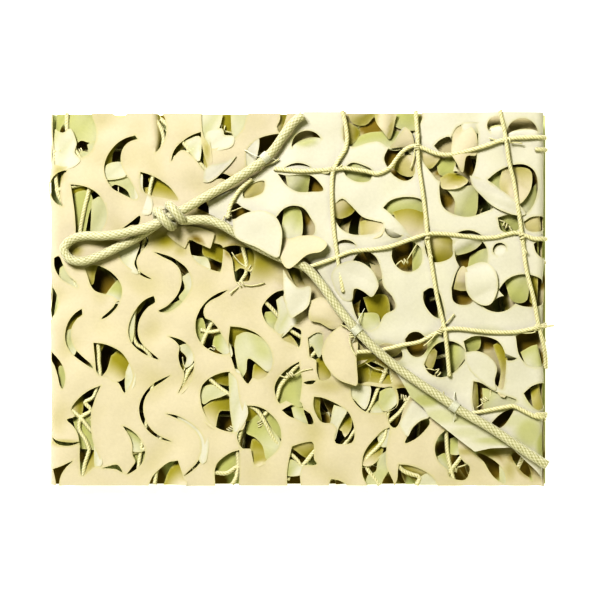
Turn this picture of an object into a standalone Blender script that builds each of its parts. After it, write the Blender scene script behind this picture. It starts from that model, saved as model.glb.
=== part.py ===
"""Camouflage netting: a cut length folded in three, with its roped corner turned over on top.

Metres, +Z up, origin in the middle of the underside. X runs from fold to fold and Y from cut edge to cut
edge. From the table up lie the base layer, the middle layer (cloth side up) and the flap (cord side up).
"""

import math
from collections import namedtuple

import bmesh
import bpy
from mathutils import Vector

# Driving dimensions
WIDTH = 0.450  # fold to fold, along X
DEPTH = 0.336  # cut edge to cut edge, along Y
CLOTH = 0.0012  # thickness of the scrim
MESH = 0.0785  # side of one square of the net
CORD = 0.0030  # net cord's diameter
ROPE = 0.0084  # border rope's diameter
SEIZING_LENGTH = 0.0085  # of the twine's turns along the rope
TWINE_WALL = 0.0007  # thickness of a seizing's turns
CLEAR = 0.0003  # gap between touching pieces

# Heights of the middle of the cloth in each layer
BASE_Z = CLOTH / 2
MIDDLE_Z = 0.0200
FLAP_Z = 0.0320
FLAP_RIM_Z = 0.0262  # where the flap's borders lie down on the middle layer
RIM_SLOPE = 0.085  # width of the slope from the flap's borders up to its full height
TIP_SLOPE = 0.100  # the same, from its tip
FOLD_SLOPE = 0.100  # towards the right-hand fold the whole flap rises to its full height over this width
FOLD_TOP = 0.014  # and is level for this distance before the fold
SWELL_FADE = 0.050  # the swells die out over this distance from a fold
SEAM_GAP = 0.0008  # between panels of scrim that meet end to end, at the ends and on the crease of each fold

# The two folds
CORD_STANDOFF = 0.00355  # middle of the cloth to middle of the cord
LEFT_TURN_R = (MIDDLE_Z - BASE_Z) / 2
RIGHT_TURN_R = (FLAP_Z - MIDDLE_Z) / 2
LEFT_TURN_X = -WIDTH / 2 + LEFT_TURN_R + CLOTH / 2
RIGHT_TURN_X = WIDTH / 2 - RIGHT_TURN_R - CORD_STANDOFF - CORD / 2

# Photograph's scale: one pixel is 0.9 mm, and the picture's middle is the origin
PIXEL = 0.0009
PICTURE_X, PICTURE_Y = 298.5, 299.5

# Soft swells of the two upper layers; the base lies flat
Swell = namedtuple("Swell", "height long_x long_y phase")
SWELLS = {
    "middle": Swell(0.0012, 0.210, 0.240, 1.1),
    "flap": Swell(0.0012, 0.190, 0.230, 2.3),
}

# Outline of the turned-over corner in pixels, from its tip to where it meets the cut edges
Outline = namedtuple("Outline", "x far near")
FLAP_OUTLINE = (
    Outline(186, 203, 243),
    Outline(200, 193, 247),
    Outline(237, 169, 262),
    Outline(268, 146, 279),
    Outline(293, 113, 296),
    Outline(330, 113, 326),
    Outline(365, 113, 360),
    Outline(412, 113, 402),
    Outline(460, 113, 436),
    Outline(505, 113, 464),
    Outline(537, 113, 486),
)

# The largest slits that stand open: middle of the hinge line and radius in pixels, and the way each faces
Gap = namedtuple("Gap", "layer x y radius faces")
GAPS = (
    Gap("middle", 137, 166, 32, "left"),
    Gap("middle", 70, 209, 31, "right"),
    Gap("middle", 84, 284, 30, "right"),
    Gap("middle", 95, 368, 31, "right"),
    Gap("middle", 235, 353, 32, "right"),
    Gap("middle", 236, 401, 32, "left"),
    Gap("middle", 245, 434, 31, "right"),
    Gap("flap", 352, 200, 31, "down"),
    Gap("flap", 508, 168, 32, "down"),
    Gap("flap", 400, 244, 28, "down"),
    Gap("flap", 486, 389, 31, "up"),
    Gap("flap", 440, 340, 30, "down"),
)
GAP_SIDES = 16  # sides of a full circle of a gap's arc
GAP_DEPTH = 0.0085  # of a gap's cutter, which passes through one layer only
FACES_TURN = {"right": 0.0, "up": math.pi / 2, "left": math.pi, "down": -math.pi / 2}

# Net lines in pixels: the first line across the flap, and the lines along it
FIRST_ACROSS = 246
ALONG = (150, 238, 328, 413)
FLAP_LEAN = 0.06  # the lines across lean this much towards +X for each metre towards -Y
LEAN_FADE_X = 0.150  # the lean dies out between here and the right-hand fold
ROPE_TIE = 0.0110  # from the middle of the rope to the end of a net line, along the line

# Route of the border rope in pixels, from the far cut edge through the loop and the knot to the near side
ROPE_TO_KNOT = (
    (303, 116),
    (295, 122),
    (285, 134),
    (273, 151),
    (258, 165),
    (240, 177),
    (217, 191),
    (203, 199),
)
KNOT_RIGHT = (184, 210)
KNOT_LEFT = (152, 226)
LOOP = (
    (126, 233),
    (104, 236),
    (84, 236),
    (71, 240),
    (64, 249),
    (70, 259),
    (84, 261),
    (101, 255),
    (118, 247),
    (134, 239),
)
ROPE_FROM_KNOT = (
    (206, 220),
    (222, 225),
    (240, 236),
    (262, 249),
    (288, 261),
    (305, 267),
    (321, 284),
    (335, 304),
    (352, 325),
    (369, 343),
    (389, 361),
    (412, 378),
    (436, 394),
    (460, 410),
    (491, 428),
    (516, 445),
    (531, 455),
    (545, 464),
)
ROPE_STEP = 0.0125  # straight steps of the rope's solid
LOOP_RISE = 0.0075  # of the loop's far strand where it leaves the knot
LOOP_RISE_POINTS = 2.5  # points over which it comes down
WRAP_R = 0.0090  # turns of the knot, round the strand that they hold
WRAP_TURNS = 1.75
WRAP_POINTS = 24
WRAP_START = 0.0070  # from the held strand's left end to the first turn
WRAP_END = 0.0040  # from the last turn to its right end

# Seizings: name, and place on the rope in pixels
SEIZINGS = (("seizing_upper", 264, 160), ("seizing_middle", 356, 330), ("seizing_lower", 456, 407))
SEIZING_SIDES = 12
SEIZING_BORE = (ROPE / 2 + CLEAR) / math.cos(math.pi / SEIZING_SIDES)  # clears the rope at its flats
SEIZING_R = SEIZING_BORE + TWINE_WALL
ROPE_REST = SEIZING_R + CLOTH / 2 + 0.0004  # middle of the rope over the middle of the flap's cloth
ROPE_FLOOR = ROPE / 2 + CLOTH / 2 + 2 * CLEAR  # the same over the middle layer, where no seizing is

# Steps of the cloth's solids
LONG_STEP = 0.020  # along a layer that shows
LEFT_TURN_STEPS = 4  # for each half of the turn
RIGHT_TURN_STEPS = 3
ROWS_ACROSS = 14
CORD_STEP = MESH / 3
KNOT_FULLER = 1.24  # a knot of the net against its cord
FLATTER = math.radians(4.0)  # faces of the net that turn less than this are joined

COLOURS = {
    "sand": (0.86, 0.73, 0.46),
    "cord": (0.84, 0.80, 0.58),
    "rope": (0.80, 0.78, 0.58),
    "twine": (0.90, 0.90, 0.84),
}


# Places and surfaces
def from_pixel(px, py):
    """The place on the ground of a pixel of the photograph."""
    return (px - PICTURE_X) * PIXEL, (PICTURE_Y - py) * PIXEL


def smooth(t):
    """0 below 0, 1 above 1, and a soft step between."""
    t = min(1.0, max(0.0, t))
    return t * t * (3 - 2 * t)


def swell(layer, x, y):
    """Height of a layer's soft swell, dying out at the folds."""
    row = SWELLS[layer]
    wave = math.sin(math.tau * x / row.long_x + row.phase) * math.cos(math.tau * y / row.long_y + row.phase)
    from_fold = min(x - LEFT_TURN_X, RIGHT_TURN_X - x)
    return row.height * wave * smooth(from_fold / SWELL_FADE)


def flap_sides(x):
    """The far and near edges of the flap at x, as places along Y."""
    px = x / PIXEL + PICTURE_X
    for low, high in zip(FLAP_OUTLINE, FLAP_OUTLINE[1:]):
        if px <= high.x:
            break
    share = min(1.0, max(0.0, (px - low.x) / (high.x - low.x)))
    far = low.far + share * (high.far - low.far)
    near = low.near + share * (high.near - low.near)
    return from_pixel(0, far)[1], from_pixel(0, near)[1]


def middle_height(x, y):
    return MIDDLE_Z + swell("middle", x, y)


def flap_height(x, y):
    """The flap lies down along its roped borders and stands higher inside them."""
    far, near = flap_sides(x)
    inside = [(x - TIP_X) / TIP_SLOPE]
    if near > -CUT_EDGE:
        inside.append((y - near) / RIM_SLOPE)
    if far < CUT_EDGE:
        inside.append((far - y) / RIM_SLOPE)
    by_fold = 1 - (RIGHT_TURN_X - FOLD_TOP - x) / FOLD_SLOPE
    risen = smooth(max(min(inside), by_fold))
    lying = FLAP_RIM_Z + swell("middle", x, y)
    return lying + risen * (FLAP_Z + swell("flap", x, y) - lying)


HEIGHTS = {"middle": middle_height, "flap": flap_height}

# The folded course of the net, as distance run from the flap's tip: flap, right fold, middle, left fold, base
CUT_EDGE = DEPTH / 2 - 1e-4
TIP_X = from_pixel(FLAP_OUTLINE[0].x, 0)[0]
FLAP_RUN = RIGHT_TURN_X - TIP_X
RIGHT_RUN = FLAP_RUN + math.pi * RIGHT_TURN_R
MIDDLE_RUN = RIGHT_RUN + RIGHT_TURN_X - LEFT_TURN_X
LEFT_RUN = MIDDLE_RUN + math.pi * LEFT_TURN_R
BASE_RUN = LEFT_RUN + WIDTH / 2 - LEFT_TURN_X


def on_course(run, y, offset):
    """The point at a distance run along the folded course, offset to the cord side of the cloth."""
    if run <= FLAP_RUN:
        x = TIP_X + run
        return Vector((x, y, flap_height(x, y) + offset))
    if run <= RIGHT_RUN:
        angle = (run - FLAP_RUN) / RIGHT_TURN_R
        reach = RIGHT_TURN_R + offset
        centre_z = MIDDLE_Z + RIGHT_TURN_R
        return Vector((RIGHT_TURN_X + reach * math.sin(angle), y, centre_z + reach * math.cos(angle)))
    if run <= MIDDLE_RUN:
        x = RIGHT_TURN_X - (run - RIGHT_RUN)
        return Vector((x, y, middle_height(x, y) - offset))
    if run <= LEFT_RUN:
        angle = (run - MIDDLE_RUN) / LEFT_TURN_R
        reach = LEFT_TURN_R - offset
        centre_z = BASE_Z + LEFT_TURN_R
        return Vector((LEFT_TURN_X - reach * math.sin(angle), y, centre_z + reach * math.cos(angle)))
    return Vector((LEFT_TURN_X + run - LEFT_RUN, y, BASE_Z + offset))


# Making objects
def collection_named(name):
    made = bpy.data.collections.new(name)
    bpy.context.scene.collection.children.link(made)
    return made


def matt(name):
    """A matt finish in one of the part's colours."""
    made = bpy.data.materials.new(name)
    made.use_nodes = True
    shader = made.node_tree.nodes["Principled BSDF"]
    shader.inputs["Base Color"].default_value = (*COLOURS[name], 1.0)
    shader.inputs["Roughness"].default_value = 0.8
    shader.inputs["Metallic"].default_value = 0.0
    return made


def object_of(name, mesh, collection):
    made = bpy.data.objects.new(name, mesh)
    collection.objects.link(made)
    return made


def mesh_of(name, bm):
    """A mesh datablock of the bmesh, which is freed."""
    mesh = bpy.data.meshes.new(name)
    bm.to_mesh(mesh)
    bm.free()
    return mesh


def sheet(name, runs, sides, collection):
    """A sheet of cloth through the stations of runs, from one side to the other, at the scrim's thickness."""
    bm = bmesh.new()
    bmesh.ops.create_grid(bm, x_segments=len(runs) - 1, y_segments=ROWS_ACROSS, size=1.0)
    for vert in bm.verts:
        station = round((vert.co.x + 1) / 2 * (len(runs) - 1))
        share = (vert.co.y + 1) / 2
        far, near = sides(runs[station])
        vert.co = on_course(runs[station], near + share * (far - near), 0.0)
    bmesh.ops.recalc_face_normals(bm, faces=bm.faces)
    made = object_of(name, mesh_of(name, bm), collection)
    thicken = made.modifiers.new("thickness", "SOLIDIFY")
    thicken.thickness = CLOTH
    thicken.offset = 0.0
    return made


def gap_cutter(name, gap, collection):
    """A half-round prism through one layer of cloth, flat along the slit's hinge line."""
    radius = gap.radius * PIXEL
    bm = bmesh.new()
    bmesh.ops.create_cone(
        bm, cap_ends=True, segments=GAP_SIDES, radius1=radius, radius2=radius, depth=GAP_DEPTH
    )
    whole = list(bm.verts) + list(bm.edges) + list(bm.faces)
    cut = bmesh.ops.bisect_plane(bm, geom=whole, plane_co=(0, 0, 0), plane_no=(-1, 0, 0), clear_outer=True)
    rim = [edge for edge in cut["geom_cut"] if isinstance(edge, bmesh.types.BMEdge)]
    bmesh.ops.edgeloop_fill(bm, edges=rim)
    bmesh.ops.recalc_face_normals(bm, faces=bm.faces)
    cutter = object_of(name, mesh_of(name, bm), collection)
    x, y = from_pixel(gap.x, gap.y)
    cutter.location = (x, y, HEIGHTS[gap.layer](x, y))
    cutter.rotation_euler = (0, 0, FACES_TURN[gap.faces])
    cutter.hide_render = True
    cutter.display_type = "WIRE"


def open_gaps(panel, layer):
    """Cuts the large open slits of one layer out of a panel."""
    cutters = collection_named(f"{layer}_gaps")
    for index, gap in enumerate(GAPS):
        if gap.layer == layer:
            gap_cutter(f"gap_{index}", gap, cutters)
    cut = panel.modifiers.new("gaps", "BOOLEAN")
    cut.operation = "DIFFERENCE"
    cut.operand_type = "COLLECTION"
    cut.collection = cutters
    cut.solver = "EXACT"


def even_runs(start, end, most):
    """Stations from start to end at even steps of at most most."""
    steps = math.ceil((end - start) / most)
    return [start + (end - start) * step / steps for step in range(steps + 1)]


def sides_at(run):
    """The far and near edges of the net at a distance run: the flap's outline, and the cut edges beyond it."""
    return flap_sides(TIP_X + run) if run < FLAP_RUN else (DEPTH / 2, -DEPTH / 2)


def scrim_corner(collection):
    """The turned-over corner, from its tip to the right-hand fold."""
    stations = [from_pixel(row.x, 0)[0] - TIP_X for row in FLAP_OUTLINE[:-1]] + [FLAP_RUN]
    runs = []
    for start, end in zip(stations, stations[1:]):
        runs += even_runs(start, end, LONG_STEP)[:-1]
    panel = sheet("scrim_corner", [*runs, FLAP_RUN - SEAM_GAP / 2], sides_at, collection)
    open_gaps(panel, "flap")
    return panel


def scrim_middle(collection):
    """The middle layer, from fold to fold."""
    start, end = RIGHT_RUN + SEAM_GAP / 2, MIDDLE_RUN - SEAM_GAP / 2
    panel = sheet("scrim_middle", even_runs(start, end, LONG_STEP), sides_at, collection)
    open_gaps(panel, "middle")
    return panel


def fold_panels(side, start, end, steps, collection):
    """The two halves of a fold, which meet on its crease."""
    crease = (start + end) / 2
    for half, low, high in (("first", start, crease), ("second", crease, end)):
        low, high = low + SEAM_GAP / 2, high - SEAM_GAP / 2
        yield sheet(f"scrim_{side}_fold_{half}", even_runs(low, high, (high - low) / steps), sides_at, collection)


def scrim_base(collection):
    """The base layer, from the left-hand fold to its cut end."""
    return sheet("scrim_base", [LEFT_RUN + SEAM_GAP / 2, BASE_RUN], sides_at, collection)


# The net
def lean(run, y):
    """How far the flap's net lines lean towards +X at y, as they lie in the photograph."""
    if run > FLAP_RUN:
        return 0.0
    fade = 1 - smooth((TIP_X + run - LEAN_FADE_X) / (RIGHT_TURN_X - LEAN_FADE_X))
    return FLAP_LEAN * fade * (DEPTH / 2 - y)


def crossing(route, axis, value):
    """Where a stretch of the rope crosses a line of constant x (axis 0) or y (axis 1): the other of the two."""
    places = [from_pixel(*pixel) for pixel in route]
    for start, end in zip(places, places[1:]):
        if min(start[axis], end[axis]) <= value <= max(start[axis], end[axis]):
            share = (value - start[axis]) / (end[axis] - start[axis])
            return start[1 - axis] + share * (end[1 - axis] - start[1 - axis])
    return None


def lines_along():
    """The net's lines along X: {y: (first run, last run)}, each from the rope to the base's cut end."""
    lines = {}
    for pixel in ALONG:
        y = from_pixel(0, pixel)[1]
        rope_x = crossing(ROPE_TO_KNOT, 1, y) or crossing(ROPE_FROM_KNOT, 1, y)
        lines[y] = (rope_x - TIP_X + ROPE_TIE, BASE_RUN - CORD)
    return lines


def lines_across():
    """The net's lines along Y: {run: (near end, far end)}, which stop at the rope where it crosses them."""
    lines = {}
    first = from_pixel(FIRST_ACROSS, 0)[0] - TIP_X
    for index in range(int((BASE_RUN - first) / MESH) + 1):
        run = first + index * MESH
        low, high = CORD - DEPTH / 2, DEPTH / 2 - CORD
        if run < FLAP_RUN:
            x = TIP_X + run
            far_rope = crossing(ROPE_TO_KNOT, 0, x + lean(run, DEPTH / 4))
            near_rope = crossing(ROPE_FROM_KNOT, 0, x + lean(run, flap_sides(x)[1]))
            high = far_rope - ROPE_TIE if far_rope else high
            low = near_rope + ROPE_TIE if near_rope else low
        lines[run] = (low, high)
    return lines


def line_points(stops, finer=()):
    """Points at even steps between the stops of a line, with more of them between the pair named in finer."""
    points = []
    for start, end in zip(stops, stops[1:]):
        steps = 2 * RIGHT_TURN_STEPS if (start, end) == finer else max(1, round((end - start) / CORD_STEP))
        points += [start + (end - start) * step / steps for step in range(steps)]
    return [*points, stops[-1]]


def net_cords(collection):
    """The knotted net as one solid: a wire of its lines that Skin thickens, more so where they are knotted."""
    along, across = lines_along(), lines_across()
    bm = bmesh.new()
    skin = bm.verts.layers.skin.verify()
    verts = {}

    def draw(points):
        """A line of the wire through (run, y) points, which shares the points that other lines have too."""
        keys = [(round(run, 5), round(y, 5)) for run, y in points]
        for key, (run, y) in zip(keys, points):
            if key not in verts:
                verts[key] = bm.verts.new(on_course(run + lean(run, y), y, CORD_STANDOFF))
        for start, end in zip(keys, keys[1:]):
            bm.edges.new((verts[start], verts[end]))

    for y, (first, last) in along.items():
        folds = [run for run in (FLAP_RUN, RIGHT_RUN, MIDDLE_RUN, LEFT_RUN) if first < run < last]
        knots = [run for run, (low, high) in across.items() if first < run < last and low < y < high]
        runs = line_points(sorted({first, last, *folds, *knots}), finer=(FLAP_RUN, RIGHT_RUN))
        draw([(run, y) for run in runs])
    for run, (low, high) in across.items():
        knots = [y for y, (first, last) in along.items() if low < y < high and first < run < last]
        draw([(run, y) for y in line_points(sorted({low, high, *knots}))])
    for vert in bm.verts:
        fuller = KNOT_FULLER if len(vert.link_edges) > 2 else 1.0
        vert[skin].radius = (CORD / 2 * fuller, CORD / 2 * fuller)
    made = object_of("net_cords", mesh_of("net_cords", bm), collection)
    made.modifiers.new("cord", "SKIN")
    made.data.skin_vertices[0].data[0].use_root = True
    thin = made.modifiers.new("fewer faces", "DECIMATE")
    thin.decimate_type = "DISSOLVE"
    thin.angle_limit = FLATTER
    made.modifiers.new("short faces", "TRIANGULATE")
    return made


# The border rope
def on_flap(route):
    """Points of the rope's route, lying on the flap."""
    places = [from_pixel(*pixel) for pixel in route]
    return [Vector((x, y, flap_height(x, y) + ROPE_REST)) for x, y in places]


def held_strand():
    """The strand that the knot holds, from right to left, as high as the turns under it need."""
    between = [(a + b) / 2 for a, b in zip(KNOT_RIGHT, KNOT_LEFT)]
    height = middle_height(*from_pixel(*between)) + ROPE_FLOOR + WRAP_R
    return [Vector((*from_pixel(*pixel), height)) for pixel in (KNOT_RIGHT, KNOT_LEFT)]


def knot_turns():
    """The knot's turns round the held strand, from left to right, starting under it."""
    right, left = held_strand()
    axis = (right - left).normalized()
    up = Vector((0, 0, 1))
    side = up.cross(axis)
    advance = (right - left).length - WRAP_START - WRAP_END
    turns = []
    for step in range(WRAP_POINTS + 1):
        share = step / WRAP_POINTS
        angle = -math.pi / 2 + math.tau * WRAP_TURNS * share
        around = side * math.cos(angle) + up * math.sin(angle)
        turns.append(left + axis * (WRAP_START + advance * share) + around * WRAP_R)
    return turns


def loop_points():
    """The loop on the middle layer, which comes down from the knot's height."""
    points = []
    for index, pixel in enumerate(LOOP):
        x, y = from_pixel(*pixel)
        rise = LOOP_RISE * smooth(1 - index / LOOP_RISE_POINTS)
        points.append(Vector((x, y, middle_height(x, y) + ROPE_FLOOR + rise)))
    return points


def rope_route():
    """The rope's own points, far cut edge to near side, through the loop and the knot."""
    return on_flap(ROPE_TO_KNOT) + held_strand() + loop_points() + knot_turns() + on_flap(ROPE_FROM_KNOT)


def eased(points, spacing):
    """Points about spacing apart on a smooth curve through the given ones."""
    padded = [points[0] * 2 - points[1], *points, points[-1] * 2 - points[-2]]
    found = []
    for before, start, end, after in zip(padded, padded[1:], padded[2:], padded[3:]):
        bend = 2 * before - 5 * start + 4 * end - after
        twist = 3 * start - before - 3 * end + after
        steps = max(1, round((end - start).length / spacing))
        for t in (step / steps for step in range(steps)):
            found.append(start + (t * (end - before) + t**2 * bend + t**3 * twist) / 2)
    return [*found, points[-1]]


def border_rope(collection):
    """The rope's tube, with closed ends."""
    points = eased(rope_route(), ROPE_STEP)
    curve = bpy.data.curves.new("border_rope", "CURVE")
    curve.dimensions = "3D"
    spline = curve.splines.new("POLY")
    spline.points.add(len(points) - 1)
    for target, place in zip(spline.points, points):
        target.co = (*place, 1.0)
    curve.bevel_depth = ROPE / 2
    curve.bevel_resolution = 2
    curve.use_fill_caps = True
    return object_of("border_rope", curve, collection)


def seizing(name, px, py, collection):
    """Turns of twine round the rope: a short sleeve, turned about the rope's own line."""
    line = eased(rope_route(), ROPE_STEP)
    place = Vector((*from_pixel(px, py), FLAP_Z))
    start, end = min(zip(line, line[1:]), key=lambda pair: ((pair[0] + pair[1]) / 2 - place).length)
    half = SEIZING_LENGTH / 2
    profile = [(SEIZING_R, half), (SEIZING_R, -half), (SEIZING_BORE, -half), (SEIZING_BORE, half)]
    bm = bmesh.new()
    corners = [bm.verts.new((radius, 0, height)) for radius, height in profile]
    for first, second in zip(corners, corners[1:] + corners[:1]):
        bm.edges.new((first, second))
    made = object_of(name, mesh_of(name, bm), collection)
    spin = made.modifiers.new("turns", "SCREW")
    spin.steps = spin.render_steps = SEIZING_SIDES
    spin.merge_threshold = 0.00005
    spin.use_merge_vertices = True
    made.location = (start + end) / 2
    made.rotation_euler = (end - start).to_track_quat("Z", "Y").to_euler()
    return made


def main():
    for old in list(bpy.data.objects):
        bpy.data.objects.remove(old)
    netting = collection_named("camouflage_netting")
    sand, cord, rope, twine = (matt(name) for name in ("sand", "cord", "rope", "twine"))
    panels = [scrim_base(netting), scrim_middle(netting), scrim_corner(netting)]
    panels += fold_panels("left", MIDDLE_RUN, LEFT_RUN, LEFT_TURN_STEPS, netting)
    panels += fold_panels("right", FLAP_RUN, RIGHT_RUN, RIGHT_TURN_STEPS, netting)
    for panel in panels:
        panel.data.materials.append(sand)
    net_cords(netting).data.materials.append(cord)
    border_rope(netting).data.materials.append(rope)
    for name, px, py in SEIZINGS:
        seizing(name, px, py, netting).data.materials.append(twine)


main()
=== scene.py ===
"""Camouflage netting: slit scrim on a knotted cord net, folded, its roped corner turned over on top.

Metres, +Z up. The base layer and the corner lie cord side up, the middle layer lies cloth side up.
"""

import math
import random
from collections import namedtuple

import bpy
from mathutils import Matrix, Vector, kdtree, noise
from mathutils.geometry import delaunay_2d_cdt


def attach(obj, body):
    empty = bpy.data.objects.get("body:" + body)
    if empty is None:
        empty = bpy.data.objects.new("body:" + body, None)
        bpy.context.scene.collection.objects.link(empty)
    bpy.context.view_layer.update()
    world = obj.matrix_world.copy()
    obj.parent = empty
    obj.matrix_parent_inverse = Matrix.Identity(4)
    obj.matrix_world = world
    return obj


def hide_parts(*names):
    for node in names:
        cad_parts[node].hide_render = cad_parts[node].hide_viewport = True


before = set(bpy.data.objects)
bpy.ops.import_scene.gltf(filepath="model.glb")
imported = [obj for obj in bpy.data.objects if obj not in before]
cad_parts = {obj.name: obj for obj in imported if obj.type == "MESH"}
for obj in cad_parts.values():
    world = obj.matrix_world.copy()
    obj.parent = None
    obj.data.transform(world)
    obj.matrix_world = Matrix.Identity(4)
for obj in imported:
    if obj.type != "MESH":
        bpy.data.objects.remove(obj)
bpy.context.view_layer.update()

# Sizes of the folded netting, and the thickness of what it is made of
WIDTH = 0.450
DEPTH = 0.336
ROPE = 0.0084
CORD = 0.0030
TWINE = 0.0010
CLOTH = 0.0005
# Heights of the layers of cloth. The flap is the turned-over corner, which lies lower along its rim.
BASE_Z = 0.0006
MIDDLE_Z = 0.0200
FLAP_Z = 0.0320
FLAP_RIM_Z = 0.0262
# How far in from its borders, its tip and its fold the corner rises or sinks
RIM_SLOPE = 0.085
TIP_SLOPE = 0.100
FOLD_SLOPE = 0.100
FOLD_TOP = 0.014
SWELL_FADE = 0.050
CORD_STANDOFF = 0.0023
# The folds at the left and the right: their radius, and the place along X where they start
LEFT_TURN_R = 0.0097
RIGHT_TURN_R = 0.0060
LEFT_TURN_X = -0.2147
RIGHT_TURN_X = 0.21395
CUT_EDGE = DEPTH / 2 - 1e-4
LEFT_CREASE_X = LEFT_TURN_X - math.pi * LEFT_TURN_R / 2
RIGHT_CREASE_X = RIGHT_TURN_X + math.pi * RIGHT_TURN_R / 2

# The photograph is 598 pixels square, and one of them is 0.9 mm on the netting
PICTURE = 598
PIXEL = 0.0009
PICTURE_X, PICTURE_Y = 298.5, 299.5


# ---------------------------------------------------------------- places and heights
def from_pixel(px, py):
    """The place on the ground of a pixel of the photograph."""
    return Vector(((px - PICTURE_X) * PIXEL, (PICTURE_Y - py) * PIXEL))


def to_pixel(x, y):
    return x / PIXEL + PICTURE_X, PICTURE_Y - y / PIXEL


def pairs(*numbers):
    """Places in pixels from a row of numbers, x and y in turn."""
    return tuple(zip(numbers[::2], numbers[1::2]))


def smooth(t):
    """0 below 0, 1 above 1, and a soft step between."""
    t = min(1.0, max(0.0, t))
    return t * t * (3 - 2 * t)


Swell = namedtuple("Swell", "height long_x long_y phase")
SWELLS = {
    "middle": Swell(0.0012, 0.210, 0.240, 1.1),
    "flap": Swell(0.0012, 0.190, 0.230, 2.3),
}

# The corner's level part in pixels: places along X, each with its far and near edges there
FLAP_OUTLINE = (
    (186, 203, 243), (200, 193, 247), (237, 169, 262), (268, 146, 279), (293, 113, 296), (330, 113, 326),
    (365, 113, 360), (412, 113, 402), (460, 113, 436), (505, 113, 464), (537, 113, 486),
)
TIP_X = from_pixel(FLAP_OUTLINE[0][0], 0)[0]


def swell(layer, x, y):
    row = SWELLS[layer]
    wave = math.sin(math.tau * x / row.long_x + row.phase) * math.cos(math.tau * y / row.long_y + row.phase)
    from_fold = min(x - LEFT_TURN_X, RIGHT_TURN_X - x)
    return row.height * wave * smooth(from_fold / SWELL_FADE)


def flap_sides(x):
    """The far and near edges of the corner's level part at x, as places along Y."""
    px = x / PIXEL + PICTURE_X
    for (x1, far1, near1), (x2, far2, near2) in zip(FLAP_OUTLINE, FLAP_OUTLINE[1:]):
        if px <= x2:
            break
    share = min(1.0, max(0.0, (px - x1) / (x2 - x1)))
    far = far1 + share * (far2 - far1)
    near = near1 + share * (near2 - near1)
    return from_pixel(0, far)[1], from_pixel(0, near)[1]


def base_height(x, y):
    return BASE_Z


def middle_height(x, y):
    return MIDDLE_Z + swell("middle", x, y)


def flap_height(x, y):
    """The corner lies down along its roped borders and stands higher inside them."""
    far, near = flap_sides(x)
    inside = [(x - TIP_X) / TIP_SLOPE]
    if near > -CUT_EDGE:
        inside.append((y - near) / RIM_SLOPE)
    if far < CUT_EDGE:
        inside.append((far - y) / RIM_SLOPE)
    by_fold = 1 - (RIGHT_TURN_X - FOLD_TOP - x) / FOLD_SLOPE
    risen = smooth(max(min(inside), by_fold))
    lying = FLAP_RIM_Z + swell("middle", x, y)
    return lying + risen * (FLAP_Z + swell("flap", x, y) - lying)


HEIGHTS = {"base": base_height, "middle": middle_height, "flap": flap_height}


def on_layer(layer, x, y, rise=0.0):
    """The point over a layer's place x, y at a rise over its cloth. Past a fold's start, x runs round it."""
    if x > RIGHT_TURN_X and layer != "base":
        angle = (x - RIGHT_TURN_X) / RIGHT_TURN_R
        reach, way = (RIGHT_TURN_R + rise, 1) if layer == "flap" else (RIGHT_TURN_R - rise, -1)
        z = MIDDLE_Z + RIGHT_TURN_R + way * reach * math.cos(angle)
        return Vector((RIGHT_TURN_X + reach * math.sin(angle), y, z))
    if x < LEFT_TURN_X:
        angle = (LEFT_TURN_X - x) / LEFT_TURN_R
        reach, way = (LEFT_TURN_R + rise, 1) if layer == "middle" else (LEFT_TURN_R - rise, -1)
        z = BASE_Z + LEFT_TURN_R + way * reach * math.cos(angle)
        return Vector((LEFT_TURN_X - reach * math.sin(angle), y, z))
    return Vector((x, y, HEIGHTS[layer](x, y) + rise))


# ---------------------------------------------------------------- camera
LENS = 120.0
FILM = 36.0
FOCUS_Z = 0.026  # height at which one pixel of the picture is PIXEL wide


def look_straight_down():
    """The camera over the netting, as the photograph was taken."""
    camera = bpy.data.objects.new("camera", bpy.data.cameras.new("camera"))
    bpy.context.scene.collection.objects.link(camera)
    camera.data.lens = LENS
    camera.data.sensor_width = FILM
    camera.data.dof.use_dof = False
    middle = from_pixel(PICTURE / 2, PICTURE / 2)
    camera.location = (middle.x, middle.y, FOCUS_Z + PICTURE * PIXEL * LENS / FILM)
    bpy.context.scene.camera = camera


look_straight_down()


# ---------------------------------------------------------------- finishes
class Value:
    """A number in a material. Sums and products of it add Math nodes."""

    def __init__(self, tree, socket):
        self.tree = tree
        self.socket = socket

    def math(self, operation, *others):
        node = self.tree.nodes.new("ShaderNodeMath")
        node.operation = operation
        for slot, term in zip(node.inputs, [self, *others]):
            if isinstance(term, Value):
                self.tree.links.new(term.socket, slot)
            else:
                slot.default_value = term
        return Value(self.tree, node.outputs[0])

    def __add__(self, other):
        return self.math("ADD", other)

    def __sub__(self, other):
        return self.math("SUBTRACT", other)

    def __mul__(self, other):
        return self.math("MULTIPLY", other)

    def __truediv__(self, other):
        return self.math("DIVIDE", other)

    __radd__ = __add__

    def sine(self):
        return self.math("SINE")

    def within(self, low, high):
        """0 at low, 1 at high, held there outside them."""
        return ((self - low) / (high - low)).math("MINIMUM", 1.0).math("MAXIMUM", 0.0)


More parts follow.
